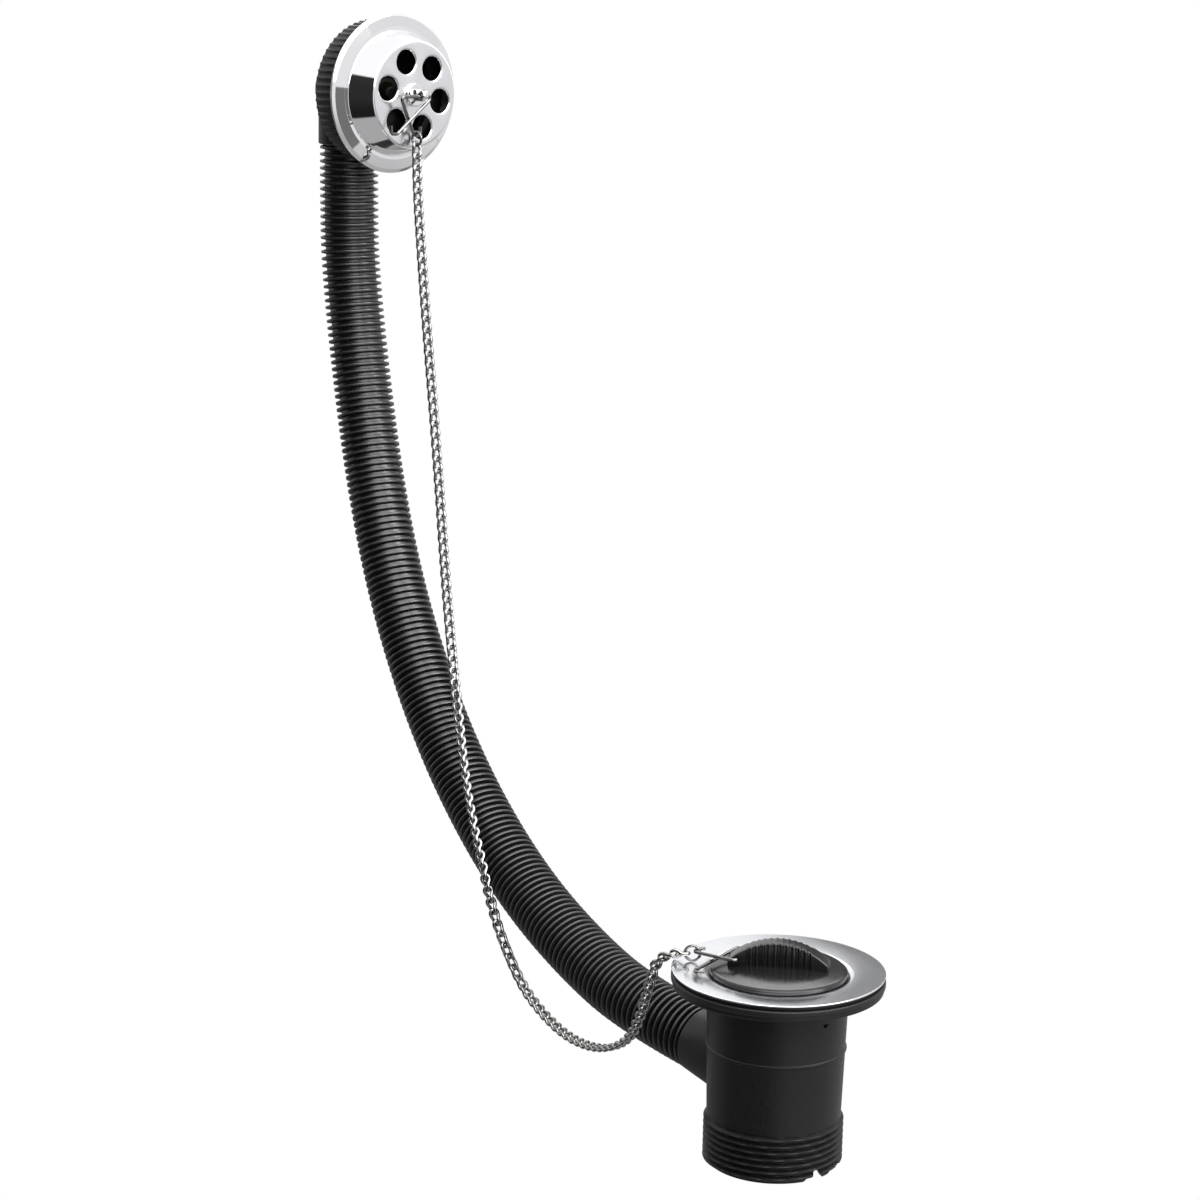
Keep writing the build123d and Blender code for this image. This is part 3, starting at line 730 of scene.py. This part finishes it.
# Waste body: flanged shell with a helical thread, hose inlet, spider and notches
body = {
    "profile": [(poleRadius, -4.3), (35.8, -4.3), (35.8, -5.8), (25.4, -7.2), (24.0, -9.0), (23.55, -25.85),
                (23.95, -26.2), (24.0, -26.5), (23.95, -26.8), (23.53, -27.15), (22.9, -51.0)],
    "rounds": {1: 0.2, 2: 0.5, 3: 1.2, 4: 0.8, 5: 0.15, 9: 0.15},
    "bore": [(poleRadius, -3.0), (23.9, -3.0), (23.9, -4.3), (22.2, -9.6), (20.2, -12.0), (20.2, -69.0),
             (poleRadius, -69.0)],
    "sides": 160, "boreSides": 128, "sharp": 30,
}
thread = {
    "top": -51.0, "tail": -68.0, "root": 22.42, "crest": 23.9, "pitch": 2.309, "rows": 150, "margin": 0.05,
    "runIn": 0.9, "runOut": 0.6, "plainEnd": 0.25, "flank": 3.0, "rootFlat": 0.25, "chamfer": 0.2,
}
inlet = {
    "profile": [(poleRadius, 18.2), (13.2, 18.2), (11.6, 36.0), (8.75, 36.0), (8.75, 46.0),
                (poleRadius, 46.0)],
    "rounds": {2: 0.5, 4: 0.5}, "sides": 96,
    "rise": math.radians(6.5), "depth": 39.3, "bore": 7.15, "boreReach": 47,
}
bodySpider = {
    "boss": [(4.65, -27.0), (6.5, -27.0), (6.5, -18.0), (4.65, -18.0)], "round": 0.3,
    "arms": 4, "first": 45, "reach": (5.9, 21.0), "half": 1.25, "levels": (-27, -18),
}
notch = {
    "outer": [(-5.0, -68.4), (3.4, -68.4), (0.2, -64.3)],
    "inner": [(-5.0, -68.4), (4.8, -68.4), (1.6, -63.9)],
    "reach": (19.6, 25), "angles": (-7, 22),
}
arrow = {"corners": [(-1.35, -12.55), (1.35, -12.55), (0, -14.05)], "reach": (22.3, 26), "angle": -4}


def threadWave(angle, r, h):
    if r != thread["root"]:
        return r
    start = (thread["top"] - h) / thread["runIn"]
    end = (h - thread["tail"] - thread["plainEnd"]) / thread["runOut"]
    run = min(max(min(start, end), 0.0), 1.0)
    phase = ((h - thread["top"]) / thread["pitch"] - angle / (2 * math.pi)) % 1.0
    ridge = min(max((0.5 - abs(phase - 0.5)) * thread["flank"] - thread["rootFlat"], 0.0), 1.0)
    return r + (thread["crest"] - r) * ridge * run


def wedge(name, inner, outer, reach, angle):
    # triangles in (across, height), from one radius out to another
    spin = Matrix.Rotation(math.radians(angle), 4, "Z")
    ends = zip(reach, (inner, outer))
    verts = [spin @ Vector((x * mm, u * mm, h * mm)) for x, corners in ends for u, h in corners]
    sides = [(0, 1, 4), (0, 4, 3), (1, 2, 5), (1, 5, 4), (2, 0, 3), (2, 3, 5)]
    return addMesh(name, verts, [(0, 2, 1), (3, 4, 5)] + sides, None)


bodyLine = rounded(body["profile"], body["rounds"], 5, closed=False)
threadSpan = (thread["top"] - thread["margin"], thread["tail"] + thread["margin"])
bodyLine += [(thread["root"], h) for h in np.linspace(*threadSpan, thread["rows"])]
bodyLine += [(thread["root"] - thread["chamfer"], thread["tail"]), (poleRadius, thread["tail"])]
bodyPiece = lathe("wasteBody", bodyLine, "body", body["sides"], wave=threadWave, sharp=body["sharp"])
bodyCuts = []
for angle in notch["angles"]:
    bodyCuts.append(wedge("notch", notch["inner"], notch["outer"], notch["reach"], angle))
bodyCuts.append(wedge("arrow", arrow["corners"], arrow["corners"], arrow["reach"], arrow["angle"]))
cut(bodyPiece, [joined("bodyCuts", bodyCuts, None)], sharp=body["sharp"])
inletDir = np.array((-math.cos(inlet["rise"]), 0, math.sin(inlet["rise"])))
inletBase = np.array((0, 0, -inlet["depth"]))
inletLine = rounded(inlet["profile"], inlet["rounds"], 4)
cut(bodyPiece, [lathe("inlet", inletLine, None, inlet["sides"], aimed(inletBase, inletDir))], "UNION")
cut(bodyPiece, [lathe("bore", body["bore"], None, body["boreSides"])])
cut(bodyPiece, [rod("inletBore", inlet["bore"], inletBase, inletBase + inletDir * inlet["boreReach"])])
bodyPiece = joined("wasteBody", [bodyPiece] + makeSpider(bodySpider, Matrix.Identity(4)), "body")
smoothen(bodyPiece.data, body["sharp"])
settle(bodyPiece, ["waste_body"])
print("stage: body", len(bodyPiece.data.polygons))

# Plug: dome and skirt, with a ribbed grip
plug = {
    "under": [(22.8, 0.45), (23.4, -0.05), (23.4, -0.9), (22.89, -2.2), (21.6, -6.5), (19.4, -6.5),
              (20.69, -1.4), (poleRadius, -0.6)],
    "underRounds": {1: 0.4, 2: 0.3, 4: 0.4, 5: 0.4},
    "domeRadius": 22.8, "domeRows": 24, "edge": 0.45, "dome": 2.0, "sides": 160, "sharp": 50,
    "half": 17.2, "foot": 0.5, "endHeight": 3.0, "height": 10.0, "thick": 7.6, "endRound": 0.8, "brow": 0.7,
    "grooves": 11, "groovePitch": 2.05, "grooveWidth": 1.15, "grooveDepth": 0.8, "grooveSide": 0.2,
    "straight": 16.4, "columns": 220, "endColumns": [16.75, 17.0, 17.15, 17.2], "rows": 26, "browRows": 6,
}


def domeHeight(r):
    return plug["dome"] - (plug["dome"] - plug["edge"]) * (r / plug["domeRadius"]) ** 2


def gripTop(x):
    rise = plug["height"] - plug["endHeight"]
    arc = (plug["half"] ** 2 + rise**2) / (2 * rise)
    return plug["height"] - arc + math.sqrt(arc**2 - x**2)


def gripGroove(x):
    # depth of the grooves across the grip, with soft sides
    reach = (plug["grooves"] - 1) / 2 * plug["groovePitch"] + plug["grooveWidth"] / 2
    if abs(x) > reach + plug["grooveSide"] / 2:
        return 0.0
    phase = (x / plug["groovePitch"] + 0.5) % 1.0 - 0.5
    inside = plug["grooveWidth"] / 2 + plug["grooveSide"] - abs(phase) * plug["groovePitch"]
    side = min(max(inside / (2 * plug["grooveSide"]), 0.0), 1.0)
    return plug["grooveDepth"] * side * side * (3 - 2 * side)


def gripRing(x, look):
    # outline of the grip at one place along it
    brow, bend = look["brow"], look["endRound"]
    edge = max(abs(x) - (look["half"] - bend), 0.0)
    wall = look["thick"] / 2 - bend + math.sqrt(max(bend**2 - edge**2, 0.0)) - gripGroove(x)
    top = gripTop(x) - brow
    front = [(wall, z) for z in np.linspace(look["foot"], top, look["rows"])]
    turns = np.linspace(0.2, math.pi / 2, look["browRows"])
    front += [(wall - brow + brow * math.cos(a), top + brow * math.sin(a)) for a in turns]
    return front + [(-y, z) for y, z in reversed(front)]


def makeGrip(look):
    ends = np.array(look["endColumns"])
    middle = np.linspace(-look["straight"], look["straight"], look["columns"])
    columns = np.concatenate([-ends[::-1], middle, ends])
    verts = []
    for x in columns:
        for y, z in gripRing(x, look):
            verts.append((gripDir * x + gripSide * y + np.array((0, 0, z))) * mm)
    piece = addMesh("grip", verts, skin(len(columns), len(verts) // len(columns)), "plug", look["sharp"])
    across = gripSide * grip["eyeCut"]
    eye = rod("eye", grip["eyeRadius"], gripEye - across, gripEye + across, 32)
    return cut(piece, [eye], sharp=look["sharp"])


domeRadii = np.linspace(0, plug["domeRadius"], plug["domeRows"])
domeLine = [(max(r, poleRadius), domeHeight(r)) for r in domeRadii]
plugUnder = rounded(plug["under"], plug["underRounds"], 5, closed=False)
plugBody = lathe("plugBody", domeLine + plugUnder[1:], "plug", plug["sides"])
plugPiece = joined("rubberPlug", [plugBody, makeGrip(plug)], "plug")
smoothen(plugPiece.data, plug["sharp"])
settle(plugPiece, ["plug"])
print("stage: plug", len(plugPiece.data.polygons))

# Overflow head, turned about its own axis
head = {"place": (-251.7, 37.0, 276.7), "holes": 6, "holeCircle": 13.0, "turn": math.radians(-12)}
headAt = np.array(head["place"])
headTurn = Matrix(((0, 0, 1), (1, 0, 0), (0, 1, 0)))
headPlace = Matrix.Translation(Vector(head["place"]) * mm) @ headTurn.to_4x4()


def headProfile(points):
    # (forward, radius) points as a profile to turn
    return [(max(r, poleRadius), x) for x, r in points]


rose = {
    "profile": [(12.5, 2.75), (12.5, 20.2), (1.85, 23.55), (1.75, 25.2), (0.95, 29.2), (0.3, 30.5),
                (-0.5, 30.5), (1.0, 24.2), (2.0, 22.6), (11.7, 19.4), (11.7, 2.75)],
    "rounds": {1: 1.3, 2: 0.6, 3: 2.0, 4: 2.0, 5: 0.35, 6: 0.35, 7: 0.6, 8: 0.4, 9: 0.5},
    "hole": [(9, 0), (9, 4.6), (12.0, 4.6), (12.2, 4.68), (12.36, 4.9), (12.45, 5.2), (12.52, 5.6), (14, 5.6),
             (14, 0)],
    "sides": 256, "holeSides": 64, "sharp": 35,
}
roseLine = rounded(headProfile(rose["profile"]), rose["rounds"], 8)
rosePiece = lathe("rose", roseLine, "rose", rose["sides"], headPlace)
roseCuts = []
for i in range(head["holes"]):
    a = 2 * math.pi * i / head["holes"] + head["turn"]
    spot = Matrix.Translation(Vector((math.cos(a), math.sin(a), 0)) * head["holeCircle"] * mm)
    roseCuts.append(lathe("roseHole", headProfile(rose["hole"]), None, rose["holeSides"], headPlace @ spot))
cut(rosePiece, [joined("roseHoles", roseCuts, None)], sharp=rose["sharp"])
settle(rosePiece, ["overflow_rose"])

# Elbow: serrated drum, duct, corner and outlet
elbow = {
    "drum": [(-3.5, 24.6), (-3.5, 26.9), (-14.0, 26.9), (-14.0, 9.5), (-11.5, 9.5), (-11.5, 24.6)],
    "drumRounds": {1: 0.3, 2: 0.4}, "drumSides": 192, "sharp": 35,
    "setback": 26.9, "duct": 13.0, "ductStart": -12.75, "ball": 13.3, "ballRows": 49,
    "outlet": [(poleRadius, -33.2), (8.75, -33.2), (8.75, -21.2), (12.0, -21.2), (12.0, 0), (poleRadius, 0)],
    "outletRounds": {1: 0.5, 3: 0.5}, "sides": 96,
    "hollow": 10.0, "hollowStart": -10.5, "hollowBall": 10.2, "hollowRows": 33, "shaft": 7.15,
    "shaftDrop": 34.2,
}
serration = {
    "count": 60, "radius": 27.6, "root": 26.85, "rise": 0.50, "back": -14.0, "front": -3.5, "ends": 0.6,
    "outline": [(-1, -0.6), (-0.55, 0.37), (-0.2, 1), (0.2, 1), (0.55, 0.37), (1, -0.6)],
    "rows": [(-0.5, 0.75), (-0.47, 1.0), (0.47, 1.0), (0.5, 0.75)],
}
headSpider = {
    "boss": headProfile([(-12.0, 4.15), (-12.0, 5.6), (-4.0, 5.6), (-4.0, 4.15)]), "round": 0.3,
    "arms": 3, "first": 90, "reach": (4.9, 25.2), "half": 1.1, "levels": (-10.5, -5.5),
}


def makeSerrations(look):
    # one unit ridge set round the drum and scaled to its size
    middle = (look["back"] + look["front"]) / 2
    angles = np.arange(look["count"]) * 2 * math.pi / look["count"]
    outs = [Vector((math.cos(a), math.sin(a), 0)) for a in angles]
    spots = [headPlace @ ((out * look["root"] + Vector((0, 0, middle))) * mm) for out in outs]
    points = bpy.data.meshes.new("serrations")
    points.from_pydata([s[:] for s in spots], [], [])
    facing = np.array([(headTurn @ out)[:] for out in outs])
    points.attributes.new("out", "FLOAT_VECTOR", "POINT").data.foreach_set("vector", facing.ravel())
    piece = addObject("serrations", points)
    verts = [(h * (s if h > 0 else 1), w * s, x) for x, s in look["rows"] for w, h in look["outline"]]
    ridge = addMesh("ridge", verts, skin(len(look["rows"]), len(look["outline"])), "body")
    width = math.pi * look["radius"] / look["count"]
    length = look["front"] - look["back"] - look["ends"]
    sizes = {"Ridge Size": (look["rise"] * mm, width * mm, length * mm)}
    net, given = nodeGroup("drumRidges", sizes)
    out = net.make("GeometryNodeInputNamedAttribute", {"Name": "out"}, data_type="FLOAT_VECTOR")
    axes = {"Primary Axis": out, "Secondary Axis": (1.0, 0.0, 0.0)}
    turn = net.make("FunctionNodeAxesToRotation", axes, primary_axis="X", secondary_axis="Z")
    shape = net.make("GeometryNodeObjectInfo", {"Object": ridge}, output="Geometry")
    places = {"Points": given["Geometry"], "Instance": shape, "Rotation": turn}
    places["Scale"] = given["Ridge Size"]
    closeGroup(net, net.make("GeometryNodeInstanceOnPoints", places), "body")
    piece.data = grown(piece, net, sizes)
    remove(ridge)
    return piece


def ball(name, radius, rows, place, sides):
    quarter = math.pi / 2 - 0.001
    line = [(radius * math.cos(a), radius * math.sin(a)) for a in np.linspace(-quarter, quarter, rows)]
    return lathe(name, line, None, sides, place)


def forward(distance):
    return headAt + np.array((distance, 0, 0))


def makeDuct(look):
    corner = forward(-look["setback"])
    place = Matrix.Translation(Vector(corner) * mm)
    sides = look["sides"]
    piece = rod("duct", look["duct"], forward(look["ductStart"]), corner, sides)
    outlet = lathe("outlet", rounded(look["outlet"], look["outletRounds"], 4), None, sides, place)
    cut(piece, [ball("corner", look["ball"], look["ballRows"], place, sides), outlet], "UNION")
    hollow = rod("hollow", look["hollow"], corner, forward(look["hollowStart"]), sides)
    shaft = rod("shaft", look["shaft"], corner - np.array((0, 0, look["shaftDrop"])), corner, sides)
    hollowBall = ball("hollowBall", look["hollowBall"], look["hollowRows"], place, sides)
    return cut(piece, [hollow, shaft, hollowBall])


drumLine = rounded(headProfile(elbow["drum"]), elbow["drumRounds"], 4)
drumPiece = lathe("drum", drumLine, None, elbow["drumSides"], headPlace)
elbowParts = [drumPiece, makeSerrations(serration), makeDuct(elbow)] + makeSpider(headSpider, headPlace)
elbowPiece = joined("elbow", elbowParts, "body")
smoothen(elbowPiece.data, elbow["sharp"])
settle(elbowPiece, ["overflow_elbow"])

# Rubber washer between the rose and the elbow
headRubber = {"profile": [(-3.5, 19), (-0.06, 19), (-0.06, 28.5), (-3.5, 28.5)], "rounds": {2: 0.4, 3: 0.4}}
washerLine = rounded(headProfile(headRubber["profile"]), headRubber["rounds"], 4)
headWasher = lathe("headWasher", washerLine, "washer", rubberSides, headPlace)
settle(headWasher, ["overflow_washer"])
print("stage: overflow head")

# Chain stay: shank, collar and eye
stay = {
    "profile": [(-10.5, 0), (-10.5, 2.5), (12.5, 2.5), (12.5, 4.5), (13.7, 4.5), (13.7, 0)],
    "rounds": {1: 0.4, 4: 0.6}, "sides": 64,
    "plateStart": 13.0, "eyeAt": 17.3, "plateHalf": 2.2, "plateMiddle": 15.2, "noseSteps": 25,
    "layers": [(-1.3, 0.35), (-1.2, 0.12), (-0.95, 0.0), (0.95, 0.0), (1.2, 0.12), (1.3, 0.35)],
    "eye": 1.0, "eyeCut": 4,
}


def makeEyePlate(look):
    # a tongue with a round nose, its edges eased by the layers' insets
    half, start, nose = look["plateHalf"], look["plateStart"], look["eyeAt"]
    turns = np.linspace(-math.pi / 2, math.pi / 2, look["noseSteps"])
    tip = [(nose + half * math.cos(a), half * math.sin(a)) for a in turns]
    line = [(start, -half)] + tip + [(start, half)]
    middle = np.array((look["plateMiddle"], 0))
    verts = []
    for y, inset in look["layers"]:
        for x, z in line:
            spot = np.array((x, z))
            if x > start:
                spot = spot - (spot - middle) / np.linalg.norm(spot - middle) * inset
            verts.append((forward(spot[0]) + np.array((0, y, spot[1]))) * mm)
    plate = addMesh("eyePlate", verts, skin(len(look["layers"]), len(line)), "stay")
    across = np.array((0, look["eyeCut"], 0))
    return cut(plate, [rod("stayEye", look["eye"], forward(nose) - across, forward(nose) + across, 32)])


stayLine = rounded(headProfile(stay["profile"]), stay["rounds"], 5)
stayShank = lathe("stayShank", stayLine, None, stay["sides"], headPlace)
stayPiece = joined("chainStay", [stayShank, makeEyePlate(stay)], "stay")
settle(stayPiece, ["chain_stay"])

# The brass nuts and the screw show their own solids; the nuts' colour is painted almost black, as painted
# shade for the hollows they sit in
for node, material in (("body_insert", "brass"), ("stay_insert", "brass"), ("flange_screw", "screw")):
    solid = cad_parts[node]
    solid.data.materials.clear()
    solid.data.materials.append(materials[material])
print("stage: chain stay")

# White floor and surround, soft light, and what the chrome mirrors
ground = {"color": (0.85, 0.85, 0.85, 1), "rough": 0.9, "half": 3, "height": -0.0682}
studio = {
    "horizon": (-0.55, -0.08, 0.40, 0.82), "sky": (0.15, 0.45, 0.0, 0.22),
    "front": (-0.72, -0.48, 1.0, 0.0), "frontFoot": (-0.66, -0.61), "frontTop": (0.44, 0.49, 1.0, 0.0),
    "behind": (-0.65, -0.35, 1.0, 0.0), "behindTop": (-0.14, -0.04, 1.0, 0.0),
    "frontShade": 0.97, "behindShade": 0.5,
}
white = (1, 1, 1, 1)

floorMaterial, floorNet, floorSurface = blankMaterial("floor")
floorOut = floorMaterial.node_tree.nodes["Material Output"]
floorSurface.inputs["Base Color"].default_value = ground["color"]
floorSurface.inputs["Roughness"].default_value = ground["rough"]
plain = floorNet.make("ShaderNodeEmission", {"Color": white, "Strength": 1.0})
seen = floorNet.make("ShaderNodeLightPath", output="Is Camera Ray")
shading = Sock(floorNet, floorSurface.outputs[0])
floorNet.into(floorNet.make("ShaderNodeMixShader", {0: seen, 1: shading, 2: plain}), floorOut, "Surface")
floorMesh = bpy.data.meshes.new("floor")
floorCorners = [(x * ground["half"], y * ground["half"], ground["height"]) for x, y in
                ((-1, -1), (1, -1), (1, 1), (-1, 1))]
floorMesh.from_pydata(floorCorners, [], [(0, 1, 2, 3)])
floor = addObject("floor", floorMesh)
floorMesh.materials.append(floorMaterial)
floor.visible_glossy = False

world = bpy.data.worlds.new("studio")
scene.world = world
world.use_nodes = True
worldNet = Net(world.node_tree)
lookAt = worldNet.make("ShaderNodeTexCoord", output="Generated")
east, north, high = splitAxes(worldNet, lookAt)
tone = high.ramp(*studio["horizon"]) + high.ramp(*studio["sky"])
front = north.ramp(*studio["front"])
band = high.ramp(*studio["frontFoot"]) * high.ramp(*studio["frontTop"])
behind = east.ramp(*studio["behind"]) * high.ramp(*studio["behindTop"])
shade = (1.0 - front * band * studio["frontShade"]) * (1.0 - behind * studio["behindShade"])
around = worldNet.make("ShaderNodeBackground", {"Color": tone * shade})
backdrop = worldNet.make("ShaderNodeBackground", {"Color": white})
seenSky = worldNet.make("ShaderNodeLightPath", output="Is Camera Ray")
worldSurface = worldNet.make("ShaderNodeMixShader", {0: seenSky, 1: around, 2: backdrop})
worldNet.into(worldSurface, world.node_tree.nodes["World Output"], "Surface")

# A key light, and two panels that only mirrors see: a wide softbox overhead for the crests of the hose
# and the chain, and one high behind the waste for the front of the plug
lamps = {
    "keyLight": {"place": (0.9, 0.5, 0.9), "target": (-0.1, 0.0, 0.05), "shape": "SQUARE", "size": 0.5,
                 "power": 5.0, "diffuse": True},
    "softbox": {"place": (0.586, -0.128, 1.062), "target": (-0.12, 0.0, 0.1), "shape": "DISK", "size": 2.1,
                "power": 33.0, "diffuse": False},
    "backPanel": {"place": (-0.74, 0.74, 0.60), "target": (0.0, 0.0, 0.0), "shape": "DISK", "size": 0.9,
                  "power": 4.6, "diffuse": False},
}
for name, look in lamps.items():
    lampData = bpy.data.lights.new(name, "AREA")
    lampData.shape = look["shape"]
    lampData.size = look["size"]
    lampData.energy = look["power"]
    lamp = bpy.data.objects.new(name, lampData)
    lamp.location = look["place"]
    aim = Vector(look["target"]) - Vector(look["place"])
    lamp.rotation_euler = aim.to_track_quat("-Z", "Y").to_euler()
    lamp.visible_camera = False
    lamp.visible_diffuse = look["diffuse"]
    scene.collection.objects.link(lamp)


# Cards that only mirrors see
def makeCard(name, corners, paint, shadow, faces=((0, 1, 2, 3),)):
    material = bpy.data.materials.new(name)
    material.use_nodes = True
    nodes = material.node_tree.nodes
    nodes.remove(nodes["Principled BSDF"])
    net = Net(material.node_tree)
    net.into(net.make("ShaderNodeEmission", {"Color": paint(net)}), nodes["Material Output"], "Surface")
    mesh = bpy.data.meshes.new(name)
    mesh.from_pydata(corners, [], faces)
    piece = addObject(name, mesh)
    mesh.materials.append(material)
    piece.visible_camera = False
    piece.visible_diffuse = False
    piece.visible_shadow = shadow
    piece.visible_transmission = False


def plainGrey(value):
    return (value, value, value, 1)


# Behind the waste for its flange: white on the left, grey on the right
card = {
    "away": 0.30, "left": 0.10, "right": 0.20, "low": 0.0, "high": 0.175,
    "start": -0.002, "end": 0.05, "grey": 0.17,
}


def cardTone(net):
    coords, (x, y, z) = position(net)
    across = x * view["right"][0] + y * view["right"][1]
    back = net.make("ShaderNodeNewGeometry", output="Backfacing")
    grey = across.ramp(card["start"], card["end"]) * (1.0 - back)
    return mixColor(net, grey, white, plainGrey(card["grey"]))


away = Vector((view["forward"][0], view["forward"][1], 0)).normalized() * card["away"]
aside = Vector((view["right"][0], view["right"][1], 0)).normalized()
cardEnds = [away - aside * card["left"], away + aside * card["right"]]
low, tall = Vector((0, 0, card["low"])), Vector((0, 0, card["high"]))
cardCorners = [cardEnds[0] + low, cardEnds[1] + low, cardEnds[1] + tall, cardEnds[0] + tall]
makeCard("card", cardCorners, cardTone, True)

# Curved cards in front of the rose: grey in the left of its rim, pale in the top
roseCards = {
    "away": 0.12, "rim": 27.2, "inner": 7.5, "outer": 18.0, "steps": 12,
    "greyRim": {"start": -44.0, "end": 6.0, "tone": 0.17},
    "paleRim": {"start": 60.0, "end": 140.0, "tone": 0.76},
}


def rimStrip(look, span):
    # where the rim mirrors the camera's sight, between two tilts of its surface
    corners = []
    for angle in np.radians(np.linspace(span["start"], span["end"], look["steps"] + 1)):
        out = Vector((0, -math.cos(angle), math.sin(angle)))
        spot = (Vector(head["place"]) + out * look["rim"]) * mm
        sight = (Vector(view["place"]) - spot).normalized()
        for tilt in (math.radians(look["inner"]), math.radians(look["outer"])):
            normal = Vector((math.cos(tilt), 0, 0)) + out * math.sin(tilt)
            corners.append(spot + (2 * normal.dot(sight) * normal - sight) * look["away"])
    return corners, [(2 * i, 2 * i + 1, 2 * i + 3, 2 * i + 2) for i in range(look["steps"])]


for name in ("greyRim", "paleRim"):
    span = roseCards[name]
    corners, faces = rimStrip(roseCards, span)
    makeCard(name, corners, lambda net: plainGrey(span["tone"]), False, faces)
scene.view_settings.view_transform = "Standard"
print("stage: light")
